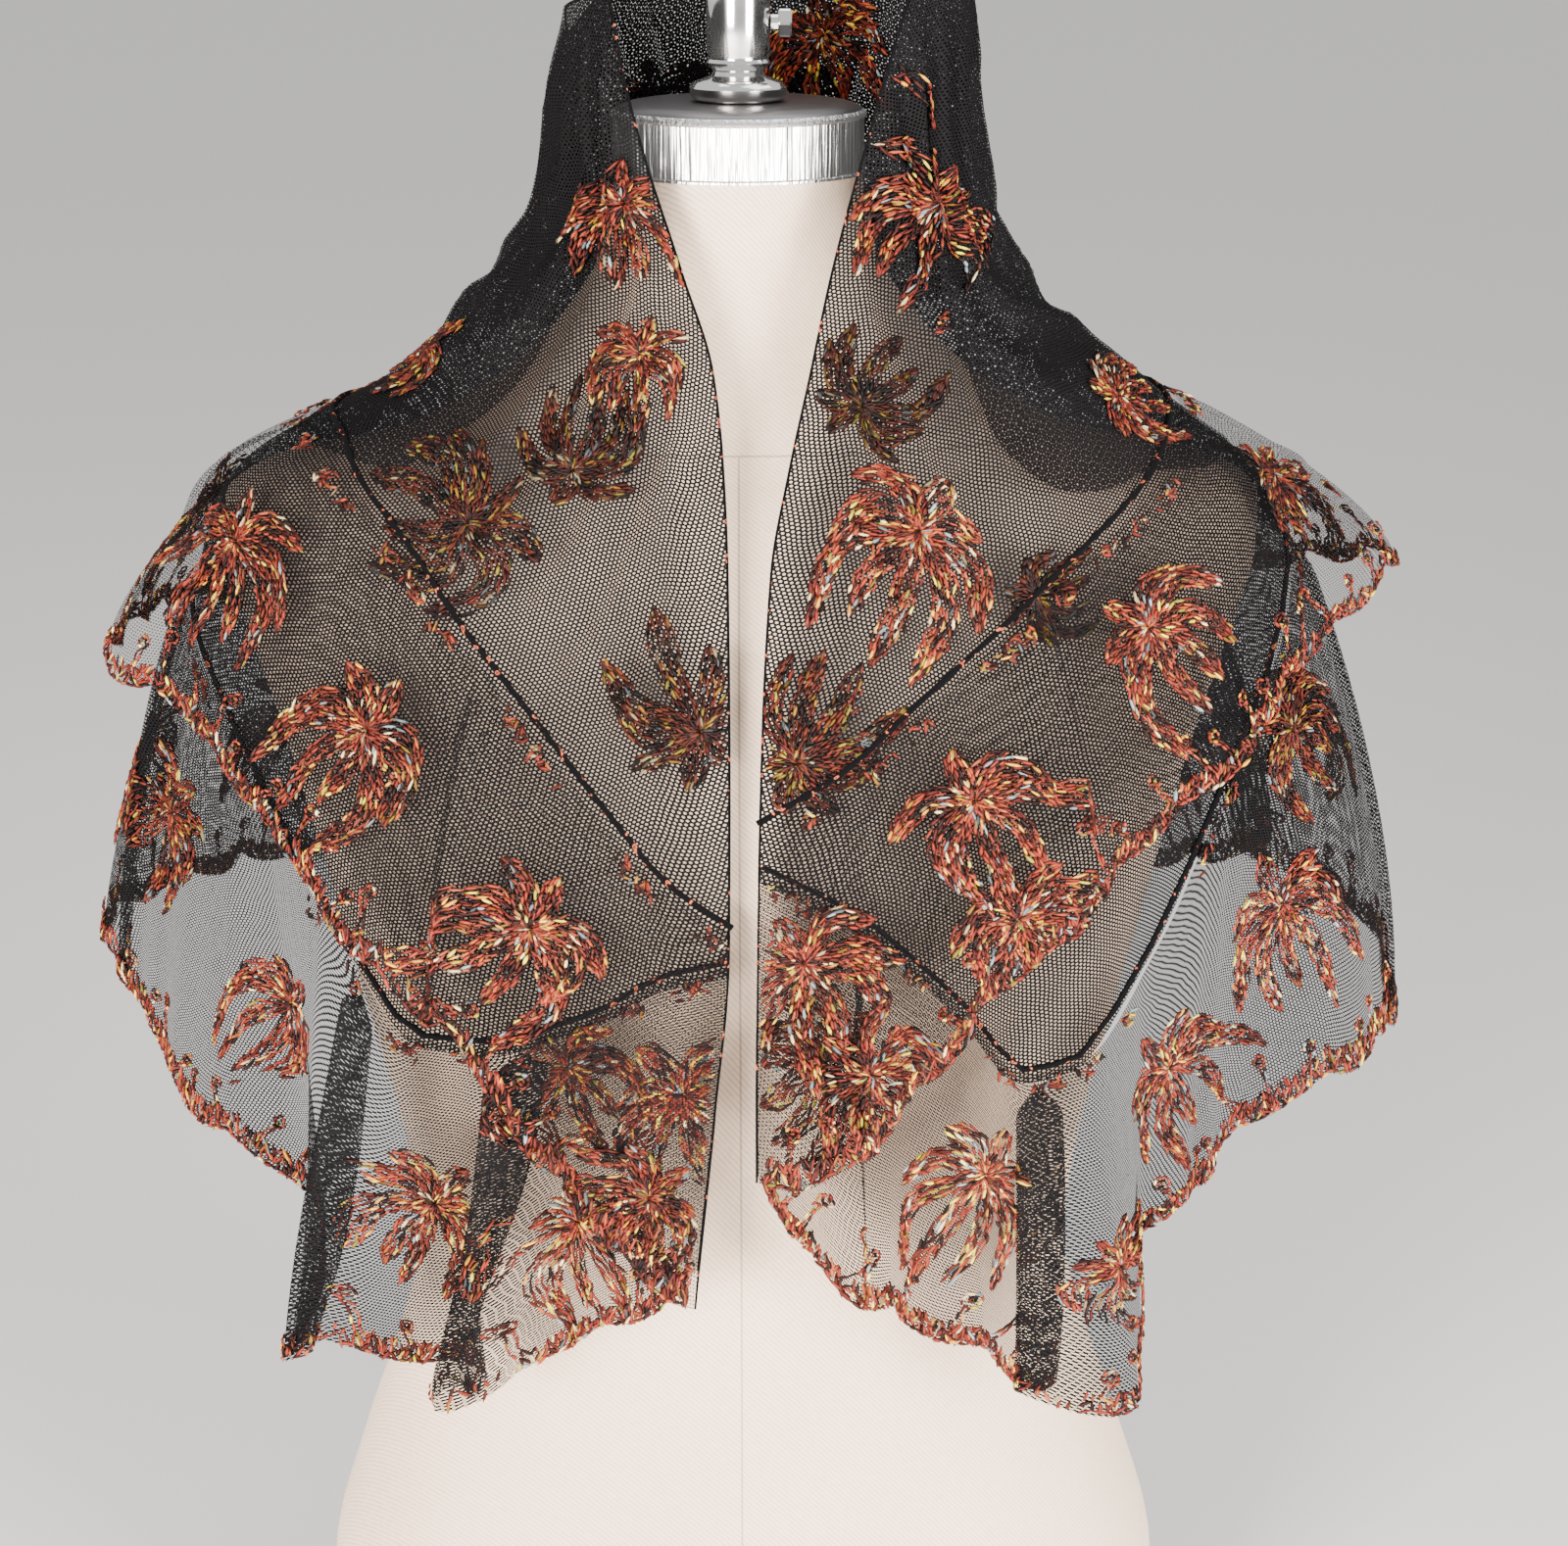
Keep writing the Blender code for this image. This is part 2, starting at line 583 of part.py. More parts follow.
def main():
    for old in list(bpy.data.objects):
        bpy.data.objects.remove(old)
    parts = bpy.data.collections.new("embroidered_shawl")
    guides = bpy.data.collections.new("guides")
    bpy.context.scene.collection.children.link(parts)
    bpy.context.scene.collection.children.link(guides)

    linen = material("linen", (0.72, 0.63, 0.53), 0.9)
    chrome = material("chrome", (0.62, 0.61, 0.60), 0.18, 1.0)
    net = material("black_net", (0.02, 0.02, 0.022), 0.85)
    edging = material("embroidered_net", (0.16, 0.06, 0.04), 0.8)

    form_torso(linen, parts)
    neck_cap(chrome, parts)
    neck_stud(chrome, parts)
    set_screw(chrome, parts)
    cloth_wall("yoke", yoke_points(), net, parts)
    upper = flounce_points(upper_radius, upper_top_at, "upper_hem", "upper_reach", UPPER_FALL)
    lower = flounce_points(lower_radius, lower_top_at, "lower_hem", "lower_reach", LOWER_FALL)
    cloth_wall("upper_flounce", upper, edging, parts)
    cloth_wall("lower_flounce", lower, edging, parts)
    seam_cord("upper_seam_cord", upper_top_at, net, parts)
    seam_cord("lower_seam_cord", lower_top_at, net, parts)


main()
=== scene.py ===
"""Looks of the black net shawl with two embroidered flounces, on its linen dress form.

Metres, +Z up, the wearer faces -Y. The surfaces repeat those of the solids, only finer.
"""

import math
from collections import namedtuple

import bpy
import numpy as np
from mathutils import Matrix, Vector


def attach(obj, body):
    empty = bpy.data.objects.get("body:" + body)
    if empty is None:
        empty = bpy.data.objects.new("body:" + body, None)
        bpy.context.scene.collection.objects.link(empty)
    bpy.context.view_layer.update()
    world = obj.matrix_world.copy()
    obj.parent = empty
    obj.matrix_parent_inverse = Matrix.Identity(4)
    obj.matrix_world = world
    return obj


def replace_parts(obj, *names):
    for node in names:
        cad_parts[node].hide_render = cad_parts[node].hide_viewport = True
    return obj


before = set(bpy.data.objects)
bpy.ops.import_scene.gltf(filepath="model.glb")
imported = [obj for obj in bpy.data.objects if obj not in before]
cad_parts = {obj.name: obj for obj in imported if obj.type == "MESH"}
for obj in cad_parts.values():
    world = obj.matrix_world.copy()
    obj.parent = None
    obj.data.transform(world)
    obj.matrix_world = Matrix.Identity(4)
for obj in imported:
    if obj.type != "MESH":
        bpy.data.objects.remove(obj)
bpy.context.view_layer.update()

# The dress form is a body without limbs, covered in cream linen twill. The cover is sewn from panels and
# pulled tight, with one seam down the centre front and one across the upper chest.
NECK_RADIUS = 0.0458
NECK_TOP = 0.624
CHEST_SEAM = 0.530  # height
SEAM_HALF_WIDTH = 0.0004
TORSO_SIDES = 128
LINEN_DARK = (0.74, 0.54, 0.39)
LINEN_LIGHT = (0.93, 0.71, 0.535)
BUST_HEIGHT = 0.385
BUST_AZIMUTH = 31.0
BUST_SPREAD = 20.0  # degrees
BUST_REACH = 0.050  # up and down
BUST_ON_FORM = 0.009
# How far an outline reaches from the body's axis to the wearer's right and left, to the front and to the
# back, and how square its corners are. The form's shoulder ends carry the net.
Level = namedtuple("Level", "height right left front back squareness")
FORM_LEVELS = [
    Level(0.000, 0.1650, 0.1650, 0.112, 0.118, 2.30),
    Level(0.012, 0.1700, 0.1700, 0.115, 0.122, 2.30),
    Level(0.060, 0.1690, 0.1690, 0.114, 0.122, 2.30),
    Level(0.110, 0.1560, 0.1560, 0.106, 0.112, 2.30),
    Level(0.160, 0.1390, 0.1390, 0.097, 0.098, 2.25),
    Level(0.200, 0.1300, 0.1300, 0.092, 0.089, 2.20),
    Level(0.240, 0.1340, 0.1340, 0.095, 0.090, 2.20),
    Level(0.285, 0.1440, 0.1440, 0.103, 0.096, 2.20),
    Level(0.330, 0.1550, 0.1550, 0.112, 0.103, 2.20),
    Level(0.375, 0.1660, 0.1660, 0.118, 0.108, 2.20),
    Level(0.415, 0.1770, 0.1770, 0.112, 0.109, 2.20),
    Level(0.450, 0.1880, 0.1880, 0.103, 0.106, 2.15),
    Level(0.480, 0.1950, 0.1970, 0.095, 0.101, 2.15),
    Level(0.503, 0.1960, 0.1978, 0.087, 0.095, 2.10),
    Level(0.514, 0.1830, 0.1860, 0.081, 0.090, 2.05),
    Level(0.524, 0.1380, 0.1380, 0.074, 0.084, 2.00),
    Level(0.545, 0.0950, 0.0950, 0.064, 0.073, 2.00),
    Level(0.572, 0.0660, 0.0660, 0.055, 0.060, 2.00),
    Level(0.598, 0.0505, 0.0505, 0.0475, 0.049, 2.00),
    Level(NECK_TOP, NECK_RADIUS, NECK_RADIUS, NECK_RADIUS, NECK_RADIUS, 2.00),
]


def smooth(at, places, values):
    """Values at the given places, joined by a curve that never overshoots them."""
    places = np.asarray(places, float)
    values = np.asarray(values, float)
    at = np.clip(np.asarray(at, float), places[0], places[-1])
    step = np.diff(places)
    slope = np.diff(values) / step
    tangent = np.zeros_like(values)
    tangent[0], tangent[-1] = slope[0], slope[-1]
    same_way = slope[:-1] * slope[1:] > 0
    inner = np.zeros(len(slope) - 1)
    inner[same_way] = 2 * slope[:-1][same_way] * slope[1:][same_way] / (slope[:-1] + slope[1:])[same_way]
    tangent[1:-1] = inner
    k = np.clip(np.searchsorted(places, at, side="right") - 1, 0, len(step) - 1)
    t = (at - places[k]) / step[k]
    return (
        values[k] * (1 + 2 * t) * (1 - t) ** 2
        + step[k] * tangent[k] * t * (1 - t) ** 2
        + values[k + 1] * t**2 * (3 - 2 * t)
        + step[k] * tangent[k + 1] * t**2 * (t - 1)
    )


def outline(levels, azimuth, height, bust):
    """Distance from the body's axis to an outline, with the bust standing forward of it."""
    heights, *sizes = zip(*levels)
    right, left, front, back, power = (smooth(height, heights, size) for size in sizes)
    angle = np.radians(azimuth)
    depth = np.where(np.cos(angle) >= 0, front, back)
    across = np.abs(np.sin(angle)) / np.where(np.sin(angle) >= 0, right, left)
    along = np.abs(np.cos(angle)) / depth
    radius = (across**power + along**power) ** (-1 / power)
    from_front = np.minimum(azimuth, 360 - azimuth)
    sideways = (from_front - BUST_AZIMUTH) / BUST_SPREAD
    upward = (height - BUST_HEIGHT) / BUST_REACH
    return radius + bust * np.exp(-(sideways**2) - upward**2)


def place(azimuth, radius, height):
    """Points from azimuth, distance from the body's axis, and height."""
    angle = np.radians(azimuth)
    return np.stack([-radius * np.sin(angle), -radius * np.cos(angle), height + 0 * radius], axis=-1)


def new_material(name):
    made = bpy.data.materials.new(name)
    made.use_nodes = True
    return made, made.node_tree, made.node_tree.nodes["Principled BSDF"]


def fill(tree, made, inputs):
    """Gives a node its inputs, each a plain value or a socket to join."""
    for key, value in inputs.items():
        if isinstance(value, bpy.types.NodeSocket):
            tree.links.new(value, made.inputs[key])
        else:
            made.inputs[key].default_value = value


def node(tree, kind, inputs=None, **settings):
    made = tree.nodes.new(kind)
    for name, value in settings.items():
        setattr(made, name, value)
    fill(tree, made, inputs or {})
    return made


def maths(tree, operation, *values):
    return node(tree, "ShaderNodeMath", dict(enumerate(values)), operation=operation).outputs[0]


def vectors(tree, operation, *values):
    return node(tree, "ShaderNodeVectorMath", dict(enumerate(values)), operation=operation).outputs[0]


def scaled(tree, vector, by):
    return node(tree, "ShaderNodeVectorMath", {0: vector, "Scale": by}, operation="SCALE").outputs[0]


def noise(tree, vector, scale, detail):
    return node(tree, "ShaderNodeTexNoise", {"Vector": vector, "Scale": scale, "Detail": detail})


def spread(tree, value, low, high):
    """Spreads the middle of a noise over a range."""
    inputs = {"Value": value, "From Min": 0.3, "From Max": 0.7, "To Min": low, "To Max": high}
    return node(tree, "ShaderNodeMapRange", inputs).outputs[0]


def bumped(tree, height, strength, distance):
    inputs = {"Height": height, "Strength": strength, "Distance": distance}
    return node(tree, "ShaderNodeBump", inputs).outputs[0]


def ramp(tree, factor, stops, interpolation="LINEAR"):
    """Colours along a factor, from pairs of place and colour."""
    made = node(tree, "ShaderNodeValToRGB", {"Fac": factor})
    made.color_ramp.interpolation = interpolation
    elements = made.color_ramp.elements
    while len(elements) < len(stops):
        elements.new(0.5)
    for element, (at_factor, colour) in zip(elements, stops):
        element.position = at_factor
        element.color = (*colour, 1)
    return made.outputs["Color"]


def linen_material():
    """Cream linen twill, darker along its two sewn seams."""
    made, tree, shader = new_material("linen_twill")
    here = node(tree, "ShaderNodeTexCoord").outputs["Object"]
    xyz = node(tree, "ShaderNodeSeparateXYZ", {"Vector": here})
    twill_inputs = {"Vector": here, "Scale": 260.0, "Distortion": 1.2, "Detail": 1.0, "Detail Scale": 2.0}
    twill = node(tree, "ShaderNodeTexWave", twill_inputs, bands_direction="DIAGONAL")
    slub = noise(tree, here, 340.0, 3.0)
    cloud = noise(tree, here, 9.0, 2.0)
    centre = maths(tree, "COMPARE", xyz.outputs["X"], 0.0, SEAM_HALF_WIDTH)
    centre = maths(tree, "MULTIPLY", centre, maths(tree, "LESS_THAN", xyz.outputs["Z"], CHEST_SEAM))
    chest = maths(tree, "COMPARE", xyz.outputs["Z"], CHEST_SEAM, SEAM_HALF_WIDTH)
    seam = maths(tree, "MULTIPLY", maths(tree, "MAXIMUM", centre, chest), 0.4)
    weave = maths(tree, "MULTIPLY", maths(tree, "ADD", twill.outputs["Fac"], slub.outputs["Fac"]), 0.5)
    colours = ramp(tree, weave, [(0.25, LINEN_DARK), (0.6, LINEN_LIGHT)])
    mottled = spread(tree, cloud.outputs["Fac"], 0.93, 1.04)
    dark = maths(tree, "MULTIPLY", mottled, maths(tree, "SUBTRACT", 1.0, seam))
    height = maths(tree, "SUBTRACT", maths(tree, "MULTIPLY", weave, 0.3), seam)
    finish = {
        "Base Color": scaled(tree, colours, dark),
        "Normal": bumped(tree, height, 0.5, 0.0005),
        "Roughness": 0.88,
        "Sheen Weight": 0.15,
    }
    fill(tree, shader, finish)
    return made


def show(name, mesh, finish):
    """Puts a mesh or curve in the scene as a piece of the object."""
    made = bpy.data.objects.new(name, mesh)
    bpy.context.scene.collection.objects.link(made)
    mesh.materials.append(finish)
    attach(made, "root")
    return made


def solid_mesh(name, points, faces, sharp):
    """A mesh that is smooth but for edges sharper than an angle in degrees."""
    mesh = bpy.data.meshes.new(name)
    mesh.from_pydata(points, [], faces)
    mesh.shade_smooth()
    mesh.set_sharp_from_angle(angle=math.radians(sharp))
    return mesh


def torso_mesh():
    """The body as rings of points, finer at the base and from the shoulders up, closed flat at both ends."""
    azimuth = 360 * np.arange(TORSO_SIDES) / TORSO_SIDES
    low, middle = np.linspace(0.0, 0.014, 8), np.linspace(0.02, 0.48, 50)
    heights = np.concatenate([low, middle, np.linspace(0.486, NECK_TOP, 45)])
    points = []
    for level in heights:
        bust = BUST_ON_FORM if level < NECK_TOP - 0.001 else 0.0
        height = level + 0 * azimuth
        points += place(azimuth, outline(FORM_LEVELS, azimuth, height, bust), height).tolist()
    around = list(range(TORSO_SIDES))
    faces = []
    for ring in range(len(heights) - 1):
        here, above = ring * TORSO_SIDES, (ring + 1) * TORSO_SIDES
        for k in around:
            after = (k + 1) % TORSO_SIDES
            faces.append((here + k, above + k, above + after, here + after))
    faces.append(around)
    faces.append([above + k for k in reversed(around)])
    return solid_mesh("linen_torso", points, faces, 60)


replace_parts(show("linen_torso", torso_mesh(), linen_material()), "form_torso")

# A turned metal cap closes the neck: its band is ribbed by fine upright brushing, and its top is dark and
# polished. A turned post stands on it, with a set screw in its side. All have a chrome finish.
PIECE_GAP = 0.0003
CAP_TOP = 0.650
CAP_BASE = NECK_TOP + PIECE_GAP
BAND_TOP = CAP_TOP - 0.0045
STUD_BASE = CAP_TOP + PIECE_GAP
CHROME = (0.85, 0.84, 0.83)
BAND_CHROME = (0.96, 0.95, 0.94)
DARK_CHROME = (0.16, 0.15, 0.15)
# Profiles of radius and height
CAP_PROFILE = [
    (0.0, CAP_TOP),
    (NECK_RADIUS - 0.0075, CAP_TOP),
    (NECK_RADIUS - 0.0040, CAP_TOP - 0.0006),
    (NECK_RADIUS - 0.0005, CAP_TOP - 0.0018),
    (NECK_RADIUS + 0.0016, CAP_TOP - 0.0036),
    (NECK_RADIUS + 0.0020, BAND_TOP),
    (NECK_RADIUS + 0.0010, BAND_TOP - 0.0010),
    (NECK_RADIUS + 0.0010, CAP_BASE + 0.0014),
    (NECK_RADIUS + 0.0016, CAP_BASE + 0.0008),
    (NECK_RADIUS + 0.0016, CAP_BASE),
    (0.0, CAP_BASE),
]
STUD_PROFILE = [
    (0.0, STUD_BASE + 0.0560),
    (0.0040, STUD_BASE + 0.0556),
    (0.0076, STUD_BASE + 0.0542),
    (0.0102, STUD_BASE + 0.0516),
    (0.0118, STUD_BASE + 0.0478),
    (0.0118, STUD_BASE + 0.0182),
    (0.0112, STUD_BASE + 0.0168),
    (0.0112, STUD_BASE + 0.0152),
    (0.0121, STUD_BASE + 0.0140),
    (0.0112, STUD_BASE + 0.0126),
    (0.0094, STUD_BASE + 0.0108),
    (0.0100, STUD_BASE + 0.0092),
    (0.0130, STUD_BASE + 0.0080),
    (0.0166, STUD_BASE + 0.0068),
    (0.0182, STUD_BASE + 0.0048),
    (0.0180, STUD_BASE + 0.0024),
    (0.0168, STUD_BASE + 0.0006),
    (0.0160, STUD_BASE),
    (0.0, STUD_BASE),
]


def lathe(name, profile, sides):
    """A closed solid turned about the body's axis, from a profile that starts and ends on the axis."""
    angle = 2 * np.pi * np.arange(sides) / sides
    inner = profile[1:-1]
    points = [(0, 0, profile[0][1])]
    for radius, height in inner:
        points += [(radius * math.cos(a), radius * math.sin(a), height) for a in angle]
    points.append((0, 0, profile[-1][1]))
    last = len(points) - 1
    end = 1 + (len(inner) - 1) * sides
    faces = []
    for k in range(sides):
        after = (k + 1) % sides
        faces.append((0, 1 + k, 1 + after))
        for here in range(1, end, sides):
            below = here + sides
            faces.append((here + k, below + k, below + after, here + after))
        faces.append((end + k, last, end + after))
    return solid_mesh(name, points, faces, 35)


def chrome_material():
    made, tree, shader = new_material("plain_chrome")
    fill(tree, shader, {"Metallic": 1.0, "Base Color": (*CHROME, 1), "Roughness": 0.12})
    return made


def ribbed_chrome_material():
    """Bright plate with a band that is brushed upright, which shows as fine ribs, below a dark top."""
    made, tree, shader = new_material("ribbed_chrome")
    here = node(tree, "ShaderNodeTexCoord").outputs["Object"]
    xyz = node(tree, "ShaderNodeSeparateXYZ", {"Vector": here})
    brush = noise(tree, vectors(tree, "MULTIPLY", here, (1.0, 1.0, 0.03)), 700.0, 2.0)
    band = maths(tree, "LESS_THAN", xyz.outputs["Z"], CAP_TOP - 0.0025)
    ribs = maths(tree, "MULTIPLY", brush.outputs["Fac"], band)
    finish = {
        "Metallic": 1.0,
        "Base Color": ramp(tree, band, [(0.0, DARK_CHROME), (1.0, BAND_CHROME)]),
        "Normal": bumped(tree, ribs, 1.0, 0.0009),
        "Roughness": 0.32,
    }
    fill(tree, shader, finish)
    return made


def finish_solid(node_name, finish):
    """Gives a solid of the frame its material."""
    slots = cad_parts[node_name].data.materials
    slots.clear()
    slots.append(finish)


PLAIN_CHROME = chrome_material()
cap = show("ribbed_cap", lathe("ribbed_cap", CAP_PROFILE, 160), ribbed_chrome_material())
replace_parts(cap, "neck_cap")
stud = show("turned_stud", lathe("turned_stud", STUD_PROFILE, 96), PLAIN_CHROME)
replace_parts(stud, "neck_stud")
finish_solid("set_screw", PLAIN_CHROME)

# The yoke is one piece of black hexagonal net, cut as part of a ring and shaped over the shoulders into a
# soft stand collar. It is open down the front, creases from the neck down, and has its edges rolled narrow.
WALL = 0.0011  # thickness of the net with its embroidery
BUST_IN_CLOTH = 0.005
NET_PITCH = 0.0015  # across the flats of a cell
YOKE_THREAD = 0.45  # share of the pitch that is thread
NET_BLACK = (0.007, 0.0065, 0.007)
ROLL_BLACK = (0.0015, 0.0015, 0.002)
ROLL_FLECKS = [(0.66, (0.30, 0.045, 0.03)), (0.69, (0.50, 0.20, 0.05)), (0.71, (0.12, 0.02, 0.02))]
YOKE_COLUMNS = 300
YOKE_ROWS = 96
YOKE_SECTOR = 1.5  # radians of the ring
YOKE_ROLL = 0.0005
CREASE_RISE = 0.0045
# Outline of the net as it hangs. The collar leans to the wearer's left.
CLOTH_LEVELS = [
    Level(0.290, 0.1900, 0.1900, 0.132, 0.118, 2.25),
    Level(0.340, 0.1990, 0.1990, 0.132, 0.120, 2.25),
    Level(0.385, 0.2070, 0.2070, 0.130, 0.121, 2.25),
    Level(0.420, 0.2105, 0.2105, 0.124, 0.120, 2.25),
    Level(0.450, 0.2090, 0.2105, 0.117, 0.118, 2.20),
    Level(0.480, 0.2050, 0.2080, 0.110, 0.114, 2.15),
    Level(0.503, 0.1980, 0.2010, 0.104, 0.109, 2.10),
    Level(0.517, 0.1860, 0.1910, 0.099, 0.106, 2.05),
    Level(0.530, 0.1640, 0.1730, 0.094, 0.102, 2.00),
    Level(0.543, 0.1380, 0.1560, 0.089, 0.098, 2.00),
    Level(0.557, 0.1170, 0.1390, 0.084, 0.094, 2.00),
    Level(0.573, 0.1020, 0.1160, 0.078, 0.090, 2.00),
    Level(0.592, 0.0865, 0.1015, 0.071, 0.087, 2.00),
    Level(0.611, 0.0730, 0.0945, 0.065, 0.086, 2.00),
    Level(0.635, 0.0680, 0.0875, 0.062, 0.086, 2.00),
    Level(0.660, 0.0665, 0.0840, 0.063, 0.088, 2.00),
    Level(0.682, 0.0630, 0.0845, 0.065, 0.090, 2.00),
    Level(0.706, 0.0610, 0.0855, 0.067, 0.092, 2.00),
]
# How far the two front edges of the net stand from the centre front, at each height
Edge = namedtuple("Edge", "height right left")
FRONT_EDGES = [
    Edge(0.180, 0.0210, 0.0060),
    Edge(0.240, 0.0155, 0.0060),
    Edge(0.305, 0.0090, 0.0060),
    Edge(0.361, 0.0040, 0.0065),
    Edge(0.430, 0.0035, 0.0080),
    Edge(0.495, 0.0040, 0.0115),
    Edge(0.530, 0.0055, 0.0180),
    Edge(0.562, 0.0090, 0.0250),
    Edge(0.595, 0.0195, 0.0315),
    Edge(0.632, 0.0314, 0.0390),
    Edge(0.706, 0.0500, 0.0560),
]
# Height of the collar's soft rim round the neck
Rim = namedtuple("Rim", "azimuth height")
COLLAR_RIM = [
    Rim(0, 0.692),
    Rim(55, 0.684),
    Rim(90, 0.674),
    Rim(125, 0.686),
    Rim(180, 0.702),
    Rim(225, 0.699),
    Rim(270, 0.702),
    Rim(360, 0.696),
]
# Where the seams and hems run round the body. upper_seam and lower_seam are heights on the yoke, and each
# hem has its height and its distance from the body's axis.
Station = namedtuple("Station", "azimuth upper_seam upper_hem upper_reach lower_seam lower_hem lower_reach")
STATIONS = [
    Station(0, 0.370, 0.228, 0.1440, 0.353, 0.239, 0.1370),
    Station(10, 0.386, 0.248, 0.1480, 0.348, 0.223, 0.1410),
    Station(18, 0.407, 0.272, 0.1510, 0.336, 0.212, 0.1440),
    Station(26, 0.428, 0.294, 0.1560, 0.327, 0.198, 0.1480),
    Station(34, 0.448, 0.321, 0.1650, 0.320, 0.194, 0.1560),
    Station(44, 0.473, 0.348, 0.1750, 0.319, 0.201, 0.1640),
    Station(54, 0.501, 0.377, 0.1840, 0.352, 0.199, 0.1790),
    Station(65, 0.520, 0.407, 0.1940, 0.403, 0.258, 0.1880),
    Station(75, 0.531, 0.432, 0.2110, 0.437, 0.273, 0.2060),
    Station(84, 0.534, 0.443, 0.2310, 0.455, 0.300, 0.2330),
    Station(92, 0.535, 0.447, 0.2380, 0.462, 0.318, 0.2470),
    Station(100, 0.534, 0.447, 0.2380, 0.461, 0.322, 0.2480),
    Station(112, 0.528, 0.440, 0.2270, 0.450, 0.325, 0.2370),
    Station(130, 0.500, 0.408, 0.1980, 0.420, 0.305, 0.2060),
    Station(150, 0.465, 0.357, 0.1700, 0.378, 0.264, 0.1780),
    Station(165, 0.440, 0.322, 0.1560, 0.352, 0.236, 0.1650),
    Station(180, 0.431, 0.309, 0.1520, 0.342, 0.226, 0.1610),
    Station(195, 0.440, 0.322, 0.1560, 0.352, 0.236, 0.1650),
    Station(210, 0.465, 0.357, 0.1700, 0.378, 0.264, 0.1780),
    Station(230, 0.500, 0.412, 0.1990, 0.420, 0.305, 0.2080),
    Station(248, 0.530, 0.452, 0.2280, 0.462, 0.325, 0.2400),
    Station(260, 0.538, 0.466, 0.2410, 0.482, 0.305, 0.2570),
    Station(269, 0.540, 0.474, 0.2430, 0.487, 0.293, 0.2600),
    Station(277, 0.538, 0.462, 0.2290, 0.474, 0.287, 0.2420),
    Station(285, 0.533, 0.446, 0.2120, 0.444, 0.279, 0.2140),
    Station(295, 0.521, 0.426, 0.1970, 0.402, 0.252, 0.1940),
    Station(304, 0.506, 0.408, 0.1870, 0.347, 0.237, 0.1840),
    Station(313, 0.4885, 0.390, 0.1790, 0.308, 0.184, 0.1800),
    Station(320, 0.474, 0.367, 0.1730, 0.306, 0.186, 0.1690),
    Station(330, 0.455, 0.348, 0.1630, 0.335, 0.212, 0.1560),
    Station(337, 0.442, 0.320, 0.1560, 0.353, 0.220, 0.1490),
    Station(346, 0.425, 0.286, 0.1500, 0.372, 0.235, 0.1430),
    Station(360, 0.407, 0.277, 0.1440, 0.388, 0.276, 0.1370),
]


def cloth_radius(azimuth, height):
    return outline(CLOTH_LEVELS, azimuth, height, BUST_IN_CLOTH)


def unit(vectors):
    return vectors / np.linalg.norm(vectors, axis=-1, keepdims=True)


def station(azimuth, name):
    return smooth(azimuth, [s.azimuth for s in STATIONS], [getattr(s, name) for s in STATIONS])


def between_edges(share, radius, height):
    """Azimuth at a share of the way round from the right front edge to the left one."""
    heights, right, left = zip(*FRONT_EDGES)
    start = np.degrees(np.arcsin(smooth(height, heights, right) / radius))
    end = 360 - np.degrees(np.arcsin(smooth(height, heights, left) / radius))
    return start + (end - start) * share


def yoke_points():
    """Points of the yoke's inner face, from the collar's rim down to its lower edge."""
    shares = np.linspace(0, 1, YOKE_COLUMNS + 1)
    azimuth = 360 * shares
    rim = smooth(azimuth, *zip(*COLLAR_RIM))
    base = station(azimuth, "lower_seam")
    height = rim + (base - rim) * np.linspace(0, 1, 121)[:, None]
    radius = cloth_radius(azimuth[None, :] + 0 * height, height)
    step = np.hypot(np.diff(radius, axis=0), np.diff(height, axis=0))
    along = np.concatenate([np.zeros((1, len(shares))), np.cumsum(step, axis=0)])
    grid = np.zeros((YOKE_ROWS + 1, len(shares), 3))
    for k, share in enumerate(shares):
        rows = np.interp(np.linspace(0, along[-1, k], YOKE_ROWS + 1), along[:, k], height[:, k])
        turned = between_edges(share, cloth_radius(azimuth[k], rows), rows)
        grid[:, k] = place(turned, cloth_radius(turned, rows), rows)
    return grid


def grid_normals(grid):
    """Outward normals of a sheet at each of its points."""
    down = np.gradient(grid, axis=0)
    across = np.gradient(grid, axis=1)
    normal = unit(np.cross(down, across))
    facing = (normal[..., :2] * grid[..., :2]).sum(axis=-1)
    return normal * np.where(np.median(facing) < 0, -1.0, 1.0)


def shares_and_falls(grid):
    """Shares of a grid's width as a row, and of its depth as a column."""
    rows, columns = grid.shape[:2]
    return np.linspace(0, 1, columns)[None, :], np.linspace(0, 1, rows)[:, None]


def eased(ramped):
    """A value from 0 to 1 that starts and ends softly."""
    return ramped * ramped * (3 - 2 * ramped)


def creased(grid):
    """The yoke with soft creases that run from the neck down over the shoulders, clear of the upper seam."""
    share, fall = shares_and_falls(grid)
    side = np.minimum(share, 1 - share)
    azimuth = np.degrees(np.arctan2(-grid[..., 0], -grid[..., 1])) % 360
    above_seam = grid[..., 2] - station(azimuth, "upper_seam")
    free = np.clip((above_seam - 0.010) / 0.030, 0, 1) * np.clip(fall / 0.10, 0, 1)
    free = free * np.clip(side / 0.04, 0, 1)
    wander = 0.8 * np.sin(2 * np.pi * (3 * share + 0.4)) + 0.6 * np.sin(2 * np.pi * (2.3 * fall + 5 * share))
    crease = 0.5 + 0.5 * np.sin(2 * np.pi * (8 * fall - 21 * side) + 2 * wander)
    push = CREASE_RISE * crease**2 * eased(free)
    return grid + grid_normals(grid) * push[..., None]


